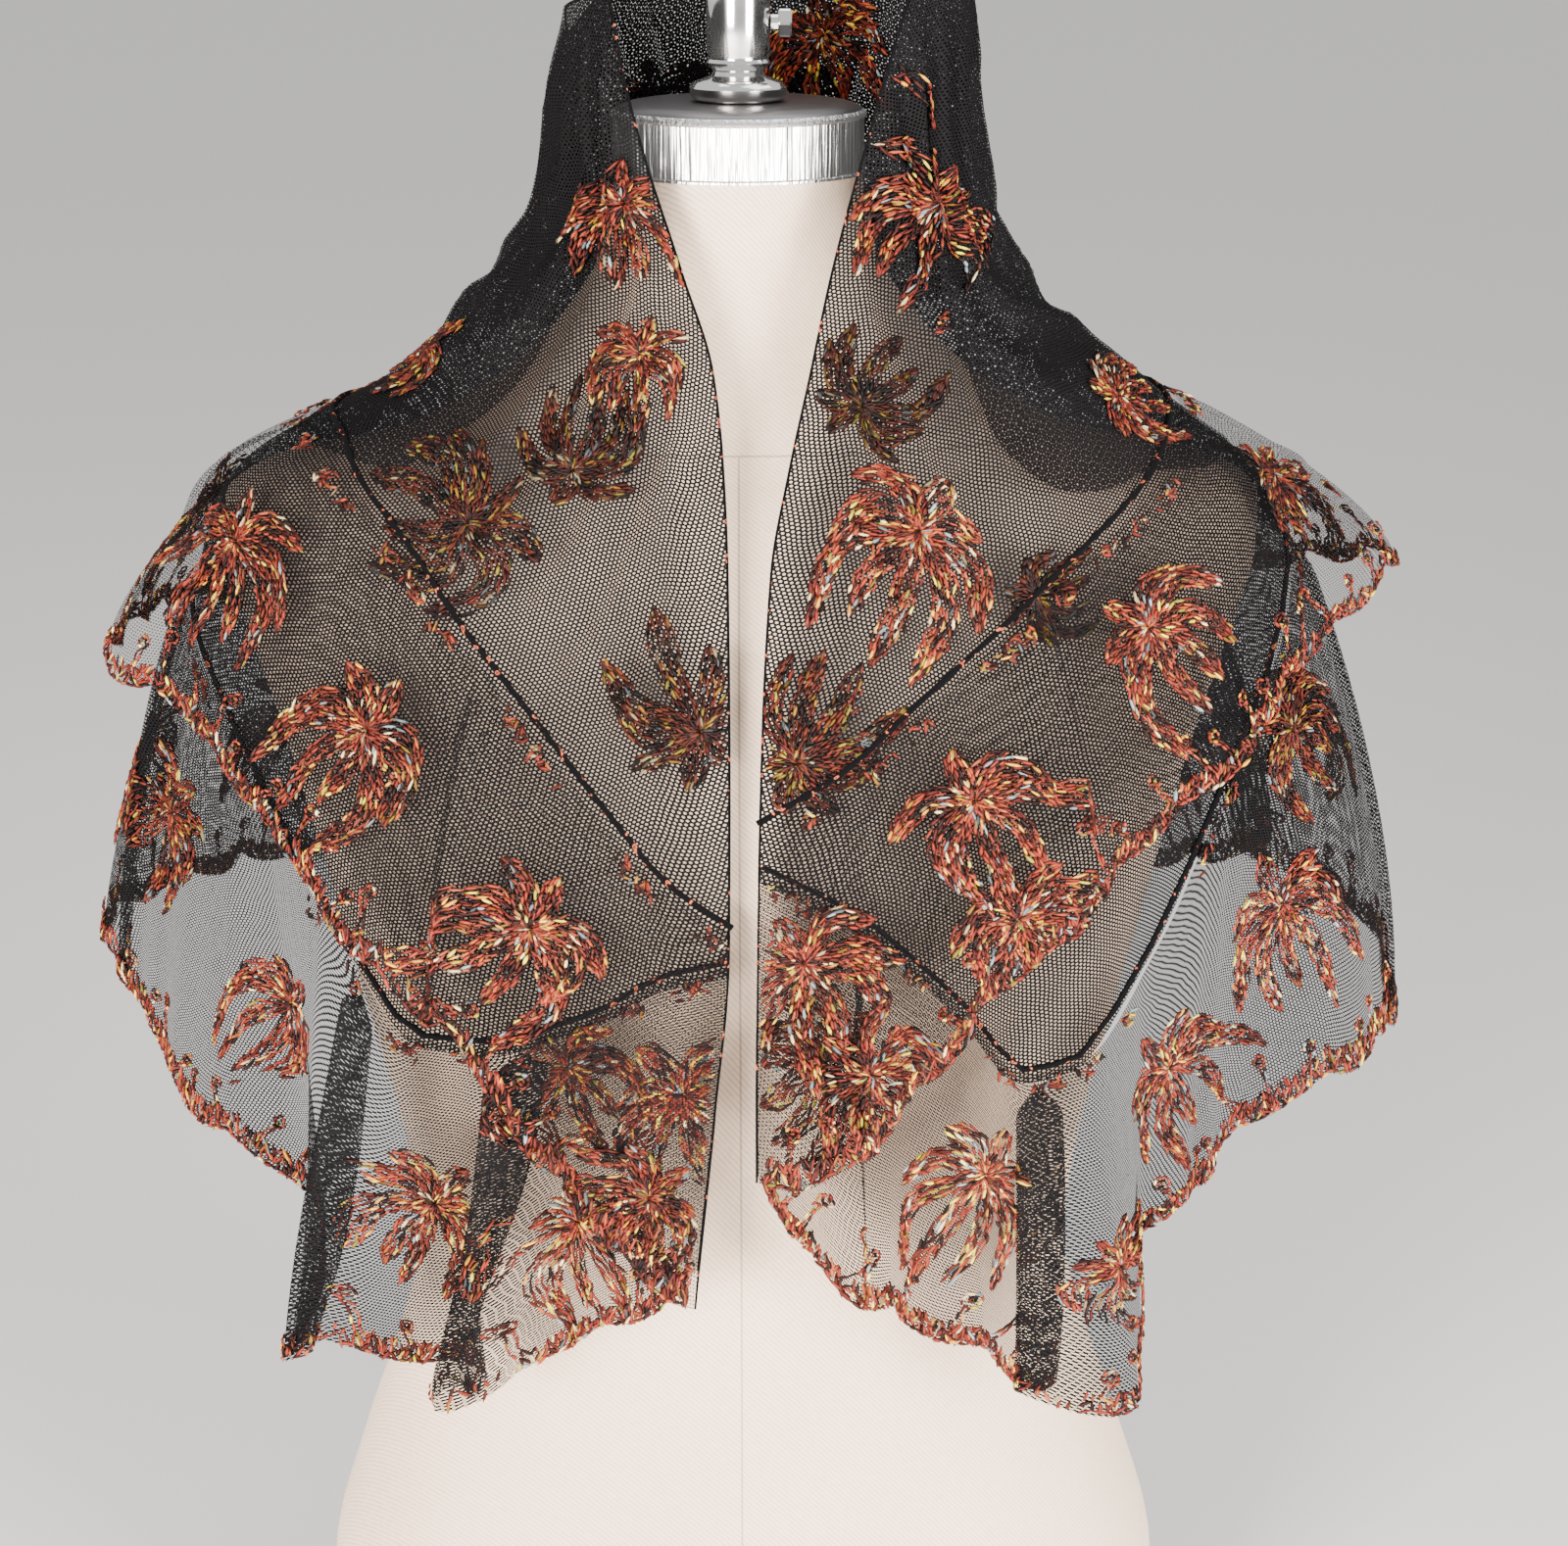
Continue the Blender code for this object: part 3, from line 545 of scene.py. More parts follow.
def cone_uv(grid, sector):
    """Flat coordinates of the yoke, unrolled as part of a ring."""
    step = np.linalg.norm(np.diff(grid, axis=1), axis=2)
    around = np.concatenate([np.zeros((len(grid), 1)), np.cumsum(step, axis=1)], axis=1)
    mean = around[:, -1]
    turn = (around / mean[:, None] - 0.5) * sector
    slant = np.linalg.norm(np.diff(grid, axis=0), axis=2)
    slant = np.concatenate([np.zeros((1, grid.shape[1])), np.cumsum(slant, axis=0)])
    radius = mean[0] / sector + slant
    return np.stack([radius * np.sin(turn), -radius * np.cos(turn)], axis=-1)


def array_mesh(name, points, corners, starts, uv_name, uv):
    """A smooth mesh from its points, the corners of all faces in a row, and where each face starts."""
    mesh = bpy.data.meshes.new(name)
    mesh.vertices.add(points.size // 3)
    mesh.vertices.foreach_set("co", points.reshape(-1).astype(np.float32))
    mesh.loops.add(len(corners))
    mesh.loops.foreach_set("vertex_index", corners.astype(np.int32))
    mesh.polygons.add(len(starts))
    mesh.polygons.foreach_set("loop_start", starts.astype(np.int32))
    layer = mesh.uv_layers.new(name=uv_name)
    layer.data.foreach_set("uv", uv.ravel().astype(np.float32))
    mesh.update(calc_edges=True)
    mesh.validate()
    mesh.shade_smooth()
    return mesh


def sheet_mesh(name, grid, uv):
    """An open sheet through a grid of points, with the net's own flat coordinates in metres as its UV."""
    rows, columns = grid.shape[:2]
    corner = (np.arange(rows - 1)[:, None] * columns + np.arange(columns - 1)[None, :]).ravel()
    corners = np.stack([corner, corner + columns, corner + columns + 1, corner + 1], axis=1).ravel()
    return array_mesh(name, grid, corners, np.arange(0, corners.size, 4), "net", uv.reshape(-1, 2)[corners])


def net_group():
    """Node group: where the threads of a hexagonal net cover, from flat coordinates in metres."""
    group = bpy.data.node_groups.new("hexagonal_net", "ShaderNodeTree")
    for name, kind in (("Flat", "Vector"), ("Pitch", "Float"), ("Thread", "Float")):
        group.interface.new_socket(name, in_out="INPUT", socket_type="NodeSocket" + kind)
    group.interface.new_socket("Cover", in_out="OUTPUT", socket_type="NodeSocketFloat")
    start = group.nodes.new("NodeGroupInput")
    end = group.nodes.new("NodeGroupOutput")
    half = (0.5, math.sqrt(3) / 2, 0.5)
    low = tuple(-v for v in half)
    flat = (1.0, 1.0, 0.0)
    pitch = start.outputs["Pitch"]
    pitch = node(group, "ShaderNodeCombineXYZ", {"X": pitch, "Y": pitch, "Z": 1.0})
    cells = vectors(group, "DIVIDE", start.outputs["Flat"], pitch.outputs[0])
    one = vectors(group, "WRAP", cells, half, low)
    other = vectors(group, "WRAP", vectors(group, "SUBTRACT", cells, half), half, low)
    one = vectors(group, "MULTIPLY", one, flat)
    other = vectors(group, "MULTIPLY", other, flat)
    far = [node(group, "ShaderNodeVectorMath", {0: v}, operation="LENGTH") for v in (one, other)]
    nearer = maths(group, "LESS_THAN", *(away.outputs["Value"] for away in far))
    pick = node(group, "ShaderNodeMix", {"Factor": nearer, 4: other, 5: one}, data_type="VECTOR")
    side = node(group, "ShaderNodeSeparateXYZ", {"Vector": vectors(group, "ABSOLUTE", pick.outputs[1])})
    x_part = maths(group, "MULTIPLY", side.outputs["X"], half[0])
    y_part = maths(group, "MULTIPLY", side.outputs["Y"], half[1])
    reach = maths(group, "MAXIMUM", side.outputs["X"], maths(group, "ADD", x_part, y_part))
    edge = maths(group, "SUBTRACT", 0.5, maths(group, "MULTIPLY", start.outputs["Thread"], 0.5))
    fill(group, end, {"Cover": maths(group, "GREATER_THAN", reach, edge)})
    return group


def net_material(name, thread):
    """Black net: threads, as a share of the mesh's pitch, round holes that show what is behind."""
    made, tree, shader = new_material(name)
    flat = node(tree, "ShaderNodeUVMap", uv_map="net").outputs[0]
    sway = scaled(tree, noise(tree, flat, 60.0, 1.0).outputs["Color"], 0.0016)
    inputs = {"Flat": vectors(tree, "ADD", flat, sway), "Pitch": NET_PITCH, "Thread": thread}
    net = node(tree, "ShaderNodeGroup", inputs, node_tree=NET_GROUP)
    finish = {
        "Alpha": net.outputs["Cover"],
        "Base Color": (*NET_BLACK, 1),
        "Roughness": 0.9,
        "Specular IOR Level": 0.05,
    }
    fill(tree, shader, finish)
    return made


def rolled_net_material():
    """Net rolled tight: nearly black, with the twist of the roll and flecks of coloured thread."""
    made, tree, shader = new_material("rolled_net")
    here = node(tree, "ShaderNodeTexCoord").outputs["Object"]
    twist = noise(tree, here, 650.0, 2.0)
    fleck = noise(tree, here, 330.0, 1.0)
    finish = {
        "Base Color": ramp(tree, fleck.outputs["Fac"], [(0.0, ROLL_BLACK), *ROLL_FLECKS], "CONSTANT"),
        "Normal": bumped(tree, twist.outputs["Fac"], 0.6, 0.0006),
        "Roughness": 0.95,
        "Specular IOR Level": 0.1,
    }
    fill(tree, shader, finish)
    return made


def edge_roll(name, points, radius):
    """The narrow roll that finishes a cut edge of the net."""
    curve = bpy.data.curves.new(name, "CURVE")
    curve.dimensions = "3D"
    curve.bevel_depth = radius
    curve.bevel_resolution = 2
    curve.use_fill_caps = True
    spline = curve.splines.new("POLY")
    spline.points.add(len(points) - 1)
    for point, spot in zip(spline.points, points):
        point.co = (*spot, 1)
    return show(name, curve, ROLLED)


NET_GROUP = net_group()
ROLLED = rolled_net_material()
yoke_plain = yoke_points()
yoke_plain = yoke_plain + grid_normals(yoke_plain) * WALL / 2
yoke_grid = creased(yoke_plain)
yoke_uv = cone_uv(yoke_grid, YOKE_SECTOR)
yoke_mesh = sheet_mesh("yoke_net", yoke_grid, yoke_uv)
yoke_net = show("yoke_net", yoke_mesh, net_material("yoke_net_fabric", YOKE_THREAD))
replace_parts(yoke_net, "yoke")
yoke_edges = [
    edge_roll("yoke_right_edge", yoke_grid[:, 0], YOKE_ROLL),
    edge_roll("yoke_left_edge", yoke_grid[:, -1], YOKE_ROLL),
    edge_roll("collar_rim", yoke_grid[0], YOKE_ROLL),
]

# The flowers are chain stitch in space-dyed thread, sewn close in rows that fill each petal. Most of those
# on the yoke's front look dark from painted shade in their colour, standing for net over them, and one spray
# is on the inside of the collar, lightened by painted light.
STITCH_LENGTH = 0.0039
STITCH_WIDTH = 0.0014
STEM_WIDTH = 0.0052
INSIDE_LIFT = 0.0006  # from the net's middle to the thread on its inner face
# Colours of the thread, in the order in which they come along it
DYE = [
    (0.00, (0.020, 0.006, 0.005)),
    (0.11, (0.080, 0.012, 0.009)),
    (0.20, (0.210, 0.026, 0.014)),
    (0.30, (0.310, 0.042, 0.020)),
    (0.38, (0.380, 0.085, 0.022)),
    (0.43, (0.820, 0.360, 0.030)),
    (0.46, (0.900, 0.680, 0.070)),
    (0.50, (0.260, 0.034, 0.018)),
    (0.58, (0.030, 0.008, 0.006)),
    (0.64, (0.210, 0.027, 0.016)),
    (0.72, (0.350, 0.080, 0.036)),
    (0.77, (0.260, 0.310, 0.330)),
    (0.80, (0.130, 0.017, 0.012)),
    (0.86, (0.780, 0.350, 0.045)),
    (0.89, (0.900, 0.680, 0.350)),
    (0.92, (0.320, 0.050, 0.022)),
    (0.97, (0.050, 0.011, 0.008)),
]
# A stitch is a slim raised drop. Its points are shares of its length forward, and of its width to the side
# and up.
STITCH_POINTS = [
    (-0.50, 0.00, -0.10),
    (-0.18, 0.40, 0.02),
    (-0.15, 0.00, 0.42),
    (-0.18, -0.40, 0.02),
    (0.20, 0.46, 0.04),
    (0.18, 0.00, 0.50),
    (0.20, -0.46, 0.04),
    (0.52, 0.00, -0.06),
]
TAIL_FACES = [(0, 2, 1), (0, 3, 2), (0, 1, 3)]
SIDE_FACES = [(1, 2, 5, 4), (2, 3, 6, 5), (3, 1, 4, 6)]
HEAD_FACES = [(7, 4, 5), (7, 5, 6), (7, 6, 4)]
# Shares of a sheet's width and depth between which stitches are sewn
SEWN_FROM = (0.001, 0.004)
SEWN_TO = (0.999, 0.999)
LEAST_STITCH = 0.0004
LONGEST_STITCH = 0.006
# A hanging bloom: two or three curled petals stand over its heart, arms bend out and over, blades hang below.
Petal = namedtuple("Petal", "angle length width bend rows")
BLOOM = [
    Petal(142, 0.0320, 0.0090, 0.50, 8),
    Petal(-172, 0.0215, 0.0098, 0.10, 8),
    Petal(-122, 0.0250, 0.0084, 0.30, 7),
    Petal(100, 0.0430, 0.0090, 0.78, 8),
    Petal(-88, 0.0400, 0.0090, 0.80, 8),
    Petal(64, 0.0500, 0.0088, 1.0, 8),
    Petal(-54, 0.0520, 0.0088, 0.95, 8),
    Petal(26, 0.0360, 0.0084, 0.90, 7),
    Petal(-18, 0.0440, 0.0084, 1.4, 7),
]
# Where a bloom is sewn, in shares of the sheet's width and depth, how it is turned in degrees, its size, and
# its shade: below 1 a painted shade that darkens its thread, above 1 a painted light that lightens it
Bloom = namedtuple("Bloom", "share fall turn size shade", defaults=(0, 1.0, 1.0))
# Shades below 1 are painted shade: these blooms are darkened as if another layer of net lay over them.
YOKE_BLOOMS = [
    Bloom(0.128, 0.50, -50, 1.05, 0.2),
    Bloom(0.088, 0.44, 170, 0.75, 0.16),
    Bloom(0.014, 0.74, 175, 1.0, 0.22),
    Bloom(0.925, 0.54, 8, 1.1),
    Bloom(0.962, 0.45, 165, 0.72, 0.12),
    Bloom(0.984, 0.85, 175, 1.0, 0.32),
    Bloom(0.878, 0.56, 60, 0.55, 0.14),
    Bloom(0.36, 0.34),
    Bloom(0.50, 0.42, 10, 1.05),
    Bloom(0.64, 0.34, -10),
    Bloom(0.30, 0.64, 0, 0.9),
    Bloom(0.43, 0.72, 0, 0.9),
    Bloom(0.57, 0.72, 0, 0.9),
    Bloom(0.70, 0.64, 0, 0.9),
]
# A shade of 1.2 is painted light, which lightens the spray inside the collar.
INNER_BLOOMS = [
    Bloom(0.578, 0.095, 0, 0.8, 1.2),
]
Stem = namedtuple("Stem", "share fall turn length")
INNER_STEMS = [
    Stem(0.600, 0.050, -40, 0.036),
]


def dyed_thread_material():
    """Space-dyed thread: the colour changes along the thread, and each stitch has its own shade:
    a tone that differs at random, times the painted shade or painted light of its bloom.
    """
    made, tree, shader = new_material("dyed_thread")
    along = node(tree, "ShaderNodeUVMap", uv_map="thread")
    parts = node(tree, "ShaderNodeSeparateXYZ", {"Vector": along.outputs[0]})
    here = node(tree, "ShaderNodeTexCoord").outputs["Object"]
    grain = noise(tree, here, 900.0, 2.0).outputs["Fac"]
    # The thread's second coordinate is its shade: a random tone times its bloom's painted shade or painted
    # light.
    strength = maths(tree, "MULTIPLY", spread(tree, grain, 0.72, 1.15), parts.outputs["Y"])
    finish = {
        "Base Color": scaled(tree, ramp(tree, parts.outputs["X"], DYE, "CONSTANT"), strength),
        "Normal": bumped(tree, grain, 0.35, 0.0004),
        "Roughness": 0.6,
        "Specular IOR Level": 0.18,
    }
    fill(tree, shader, finish)
    return made


def at(grid, share, fall):
    """Points of a grid at shares of its width and of its depth."""
    rows, columns = grid.shape[:2]
    y = np.clip(np.asarray(fall, float), 0, 1) * (rows - 1)
    x = np.clip(np.asarray(share, float), 0, 1) * (columns - 1)
    j = np.minimum(y.astype(int), rows - 2)
    i = np.minimum(x.astype(int), columns - 2)
    y, x = (y - j)[..., None], (x - i)[..., None]
    return (
        grid[j, i] * (1 - y) * (1 - x)
        + grid[j, i + 1] * (1 - y) * x
        + grid[j + 1, i] * y * (1 - x)
        + grid[j + 1, i + 1] * y * x
    )


def softened(field, reach=4):
    """A field of vectors on a grid, each the mean of its neighbours along the row."""
    padded = np.concatenate([field[:, :1]] * reach + [field] + [field[:, -1:]] * reach, axis=1)
    count = field.shape[1]
    return sum(padded[:, k : k + count] for k in range(2 * reach + 1)) / (2 * reach + 1)


class Stitches:
    """Chain stitches gathered from many rows of sewing on one sheet, made into one mesh at the end."""

    def __init__(self, grid, plain, seed):
        self.grid = grid
        self.across = softened(np.gradient(plain, axis=1) * (plain.shape[1] - 1))
        self.down = softened(np.gradient(plain, axis=0) * (plain.shape[0] - 1))
        self.normal = grid_normals(grid)
        self.chance = np.random.default_rng(seed)
        self.rows = []

    def reached(self, spot, line):
        """Share and fall that a line gets to, given in metres across and down the flat cloth from a spot."""
        spot = np.array(spot, float)
        places = spot + 0 * line
        for _ in range(3):
            middle = (places + spot) / 2
            across = at(self.across, middle[:, 0], middle[:, 1])
            down = at(self.down, middle[:, 0], middle[:, 1])
            width = np.linalg.norm(across, axis=1)
            skew = (down * across).sum(axis=1) / width
            depth = np.linalg.norm(down - across * (skew / width)[:, None], axis=1)
            fallen = line[:, 1] / depth
            places = spot + np.stack([(line[:, 0] - skew * fallen) / width, fallen], axis=1)
        return places

    def sew(self, spot, line, dye, step=0.13, width=STITCH_WIDTH, shade=1.0):
        """A row of stitches along a line given in metres across and down from a spot (share, fall)."""
        places = self.reached(spot, line)
        self.pairs(places[:-1], places[1:], dye + step * np.arange(len(line) - 1), width, shade)

    def pairs(self, start, end, dye, width=STITCH_WIDTH, shade=1.0):
        """Single stitches, each between two places (share, fall)."""
        chance = self.chance
        both = np.stack([start, end], axis=1)
        inside = ((both > SEWN_FROM) & (both < SEWN_TO)).all(axis=(1, 2))
        start, end = start[inside], end[inside]
        count = len(start)
        dye = (np.broadcast_to(dye, inside.shape)[inside] + chance.normal(0, 0.05, count)) % 1.0
        here = at(self.grid, start[:, 0], start[:, 1])
        there = at(self.grid, end[:, 0], end[:, 1])
        normal = unit(at(self.normal, start[:, 0], start[:, 1]))
        # The bloom's painted shade, times a tone that differs at random.
        shade = shade * chance.uniform(0.12, 1.2, count)
        self.rows.append((here, there, normal, dye, np.full(count, width), shade))

    def mesh(self, name):
        """All the stitches as one mesh. Their lengths, widths and turns differ a little by chance."""
        chance = self.chance
        parts = [np.concatenate(part) for part in zip(*self.rows)]
        length = np.linalg.norm(parts[1] - parts[0], axis=1)
        keep = (length > LEAST_STITCH) & (length < LONGEST_STITCH)
        start, end, normal, dye, width, shade = (part[keep] for part in parts)
        length = length[keep]
        count = len(start)
        along = (end - start) / length[:, None]
        side = unit(np.cross(normal, along))
        normal = np.cross(along, side)
        length = length * chance.uniform(1.15, 1.55, count)
        width = width * chance.uniform(0.75, 1.25, count)
        turn = chance.normal(0, 0.22, count)[:, None]
        along, side = along * np.cos(turn) + side * np.sin(turn), side * np.cos(turn) - along * np.sin(turn)
        middle = (start + end) / 2 + normal * chance.uniform(0.0004, 0.0011, count)[:, None]
        middle += side * chance.normal(0, 0.00025, count)[:, None]
        tilt = chance.normal(0, 0.08, count)
        points = [
            middle
            + along * (forward * length)[:, None]
            + side * (sideways * width)[:, None]
            + normal * (up * width + tilt * forward * length)[:, None]
            for forward, sideways, up in STITCH_POINTS
        ]
        faces = TAIL_FACES + SIDE_FACES + HEAD_FACES
        base = 8 * np.arange(count)[:, None]
        starts, corners, total = [], [], 0
        for face in faces:
            corners.append((base + np.array(face)).ravel())
            starts.append(total + len(face) * np.arange(count))
            total += len(face) * count
        corners = np.concatenate(corners)
        uv = np.stack([dye, shade], axis=1)[corners // 8]
        return array_mesh(name, np.stack(points, axis=1), corners, np.concatenate(starts), "thread", uv)


def petal(angle, length, width, bend, rows):
    """Rows of stitches that fill one petal, which leaves the heart at an angle from straight down and bends."""
    count = max(int(round(length / STITCH_LENGTH)), 3)
    t = np.linspace(0, 1, 25)
    heading = math.radians(angle) * (1 - bend * eased(np.clip((t - 0.22) / 0.5, 0, 1)))
    step = length / 24
    x = np.concatenate([[0], np.cumsum(np.sin(heading[:-1]) * step)])
    y = np.concatenate([[0], np.cumsum(np.cos(heading[:-1]) * step)])
    half = width / 2 * np.interp(t, [0, 0.10, 0.34, 0.72, 0.92, 1], [0.18, 0.50, 1.0, 0.88, 0.55, 0.25])
    for k in range(rows):
        off = 2 * k / (rows - 1) - 1
        line = np.stack([x + np.cos(heading) * half * off, y - np.sin(heading) * half * off], axis=1)
        used = np.linspace(0.03 + 0.5 * (k % 2) / count, 1 - 0.10 * off * off, count + 1)
        yield np.stack([np.interp(used, t, line[:, 0]), np.interp(used, t, line[:, 1])], axis=1)


def sew_bloom(stitches, bloom):
    """One bloom, turned from hanging straight down, with petals that each differ a little."""
    chance = stitches.chance
    angle = math.radians(bloom.turn)
    spin = np.array([[math.cos(angle), math.sin(angle)], [-math.sin(angle), math.cos(angle)]])
    if chance.random() < 0.5:
        spin = np.array([[-1, 0], [0, 1]]) @ spin
    spot = (bloom.share, bloom.fall)
    for shape in BLOOM:
        length = shape.length * bloom.size * chance.uniform(0.84, 1.16)
        width = shape.width * bloom.size * chance.uniform(0.85, 1.12)
        bend = shape.bend * chance.uniform(0.75, 1.2)
        dye = chance.uniform(0, 1)
        for line in petal(shape.angle + chance.uniform(-9, 9), length, width, bend, shape.rows):
            stitches.sew(spot, line @ spin, dye + chance.uniform(-0.2, 0.2), shade=bloom.shade)
    for around in np.linspace(0, 2 * np.pi, 14, endpoint=False):
        ray = np.array([[math.cos(around), math.sin(around)]]) * np.array([[0.0005], [0.0042]]) * bloom.size
        stitches.sew(spot, ray, chance.uniform(0, 1), shade=bloom.shade)


def sew_blooms(name, stitches, blooms, stems=()):
    """Sews blooms and stems of three rows on a sheet, and shows them as one piece."""
    for bloom in blooms:
        sew_bloom(stitches, bloom)
    for stem in stems:
        for line in petal(stem.turn, stem.length, STEM_WIDTH, 0.25, 3):
            stitches.sew((stem.share, stem.fall), line, stitches.chance.uniform(0, 1))
    return show(name, stitches.mesh(name), DYED)


DYED = dyed_thread_material()
yoke_blooms = sew_blooms("yoke_blooms", Stitches(yoke_grid, yoke_plain, seed=11), YOKE_BLOOMS)
inner_stitches = Stitches(yoke_grid - grid_normals(yoke_grid) * INSIDE_LIFT, yoke_plain, seed=15)
inner_stitches.normal = -inner_stitches.normal
inner_blooms = sew_blooms("collar_inside_blooms", inner_stitches, INNER_BLOOMS, INNER_STEMS)

# The collar's net is doubled: its other half is turned down over the neck and shoulders and lies on the yoke,
# so that it looks nearly black. It carries flowers of its own.
COLLAR_LIFT = 0.0009  # off the middle of the yoke's net
COLLAR_TURN = 0.52  # radians that its mesh lies across that of the yoke
DOUBLED_THREAD = 0.42
COLLAR_COLUMNS = 241
COLLAR_ROWS = 60
# Where it ends, as shares of the yoke's width and depth
COLLAR_LINE = [
    (0.0, 0.03),
    (0.053, 0.117),
    (0.111, 0.217),
    (0.125, 0.308),
    (0.144, 0.408),
    (0.169, 0.558),
    (0.206, 0.642),
    (0.250, 0.70),
    (0.330, 0.50),
    (0.500, 0.40),
    (0.680, 0.50),
    (0.755, 0.84),
    (0.797, 0.708),
    (0.828, 0.583),
    (0.867, 0.467),
    (0.886, 0.425),
    (0.900, 0.30),
    (0.912, 0.20),
    (0.936, 0.142),
    (0.986, 0.06),
    (1.0, 0.03),
]
# Shades below 1 are painted shade that darkens these blooms' thread.
COLLAR_BLOOMS = [
    Bloom(0.042, 0.20, -8, 0.78, 0.85),
    Bloom(0.052, 0.34, -28, 0.62, 0.7),
    Bloom(0.912, 0.215, 0, 0.95, 0.85),
    Bloom(0.812, 0.54, 35, 0.75, 0.75),
    Bloom(0.222, 0.46, -30, 0.7, 0.5),
    Bloom(0.54, 0.13, 0, 0.9, 0.6),
    Bloom(0.44, 0.16, 0, 0.9, 0.8),
    Bloom(0.32, 0.22, 0, 0.8, 0.8),
    Bloom(0.68, 0.22, 0, 0.8, 0.8),
]
COLLAR_STEMS = [
    Stem(0.918, 0.150, 138, 0.044),
]

above_yoke = yoke_grid + grid_normals(yoke_grid) * COLLAR_LIFT
share = np.linspace(0, 1, COLLAR_COLUMNS)[None, :]
fall = np.linspace(0, 1, COLLAR_ROWS)[:, None] * np.interp(share, *zip(*COLLAR_LINE))
share = share + 0 * fall
collar_uv = at(yoke_uv, share, fall)
cos, sin = math.cos(COLLAR_TURN), math.sin(COLLAR_TURN)
turned_uv = collar_uv @ np.array([[cos, sin], [-sin, cos]])
collar_mesh = sheet_mesh("collar_net", at(above_yoke, share, fall), turned_uv)
collar_net = show("collar_net", collar_mesh, net_material("doubled_net", DOUBLED_THREAD))
collar_stitches = Stitches(above_yoke, yoke_plain, seed=14)
collar_blooms = sew_blooms("collar_blooms", collar_stitches, COLLAR_BLOOMS, COLLAR_STEMS)

# The lower flounce is a long strip of the same net, gathered on to the yoke's lower edge. It hangs in folds
# and doubled pleats down to a scalloped hem, and is sewn with flowers and a border of ringlets.
SEAM_GAP = 0.0008  # air left between two pieces that are sewn together
OFF_YOKE = WALL + SEAM_GAP
SEAM_OVERLAP = 0.004  # the lower flounce is sewn this far up over the yoke's edge
LOWER_STEPS = 54
LOWER_THREAD = 0.36
LOWER_CRIMPS = 104
LOWER_FLUTTER = 37  # waves of the hem
SCALLOP_PITCH = 0.036
SCALLOP_DEPTH = 0.0055
COLUMNS_PER_SCALLOP = 18
FLOUNCE_FULLNESS = 1.15  # net taken up for each metre of seam
FLOUNCE_ROLL = 0.0004
CRIMP_RISE = 0.0013
FLUTTER_RISE = 0.0022
# Rows of the border, each from one distance above the hem to another
BORDER_ROWS = [(0.0090, 0.0056), (0.0062, 0.0028), (0.0034, 0.0002)]
BORDER_APART = 0.0014
RINGLETS_PER_SCALLOP = 2.2
RINGLET_FOOT = 0.0078  # above the hem
RINGLET_HEIGHTS = [0.0045, 0.008, 0.012]
SPOTS = 62  # clusters of colour beside the gathered seam
SPOT_FALL = 0.035
# Folds that fall from a gathered seam to its hem. rise is out (or in, below zero) at the hem, and width is in
# degrees.
Fold = namedtuple("Fold", "azimuth width rise")
LOWER_FOLDS = [
    Fold(9, 4, -0.0035),
    Fold(17, 4, 0.0030),
    Fold(26, 4, -0.0070),
    Fold(34, 3.5, 0.0120),
    Fold(40, 3, -0.0090),
    Fold(48, 4, 0.0030),
    Fold(56, 4, 0.0130),
    Fold(64, 4, -0.0110),
    Fold(74, 5, 0.0070),
    Fold(86, 5, -0.0060),
    Fold(98, 6, 0.0070),
    Fold(111, 5, -0.0070),
    Fold(122, 5, 0.0090),
    Fold(133, 5, -0.0090),
    Fold(144, 5, 0.0090),
    Fold(155, 5, -0.0080),
    Fold(166, 5, 0.0080),
    Fold(177, 5, -0.0080),
    Fold(188, 5, 0.0080),
    Fold(199, 5, -0.0080),
    Fold(210, 5, 0.0090),
    Fold(221, 5, -0.0090),
    Fold(232, 5, 0.0090),
    Fold(244, 5, -0.0080),
    Fold(257, 6, 0.0070),
    Fold(270, 5, -0.0060),
    Fold(281, 5, 0.0080),
    Fold(292, 5, -0.0070),
    Fold(303, 4, -0.0090),
    Fold(312, 4, 0.0130),
    Fold(320, 3, -0.0110),
    Fold(328, 4, 0.0040),
    Fold(336, 4, -0.0060),
    Fold(345, 4, 0.0080),
    Fold(353, 4, -0.0030),
]
# Doubled pleats, as shares of the hem, with how far each slides over itself and stands out
Pleat = namedtuple("Pleat", "share width slide out")
LOWER_PLEATS = [
    Pleat(0.059, 0.0058, 0.018, 0.004),
    Pleat(0.104, 0.0056, 0.016, 0.003),
    Pleat(0.236, 0.0060, 0.007, 0.003),
    Pleat(0.355, 0.0070, 0.016, 0.004),
    Pleat(0.440, 0.0070, 0.014, 0.004),
    Pleat(0.550, 0.0070, 0.015, 0.004),
    Pleat(0.660, 0.0070, 0.016, 0.004),
    Pleat(0.740, 0.0060, 0.007, 0.003),
    Pleat(0.901, 0.0052, 0.015, 0.004),
    Pleat(0.962, 0.0050, 0.006, 0.002),
]
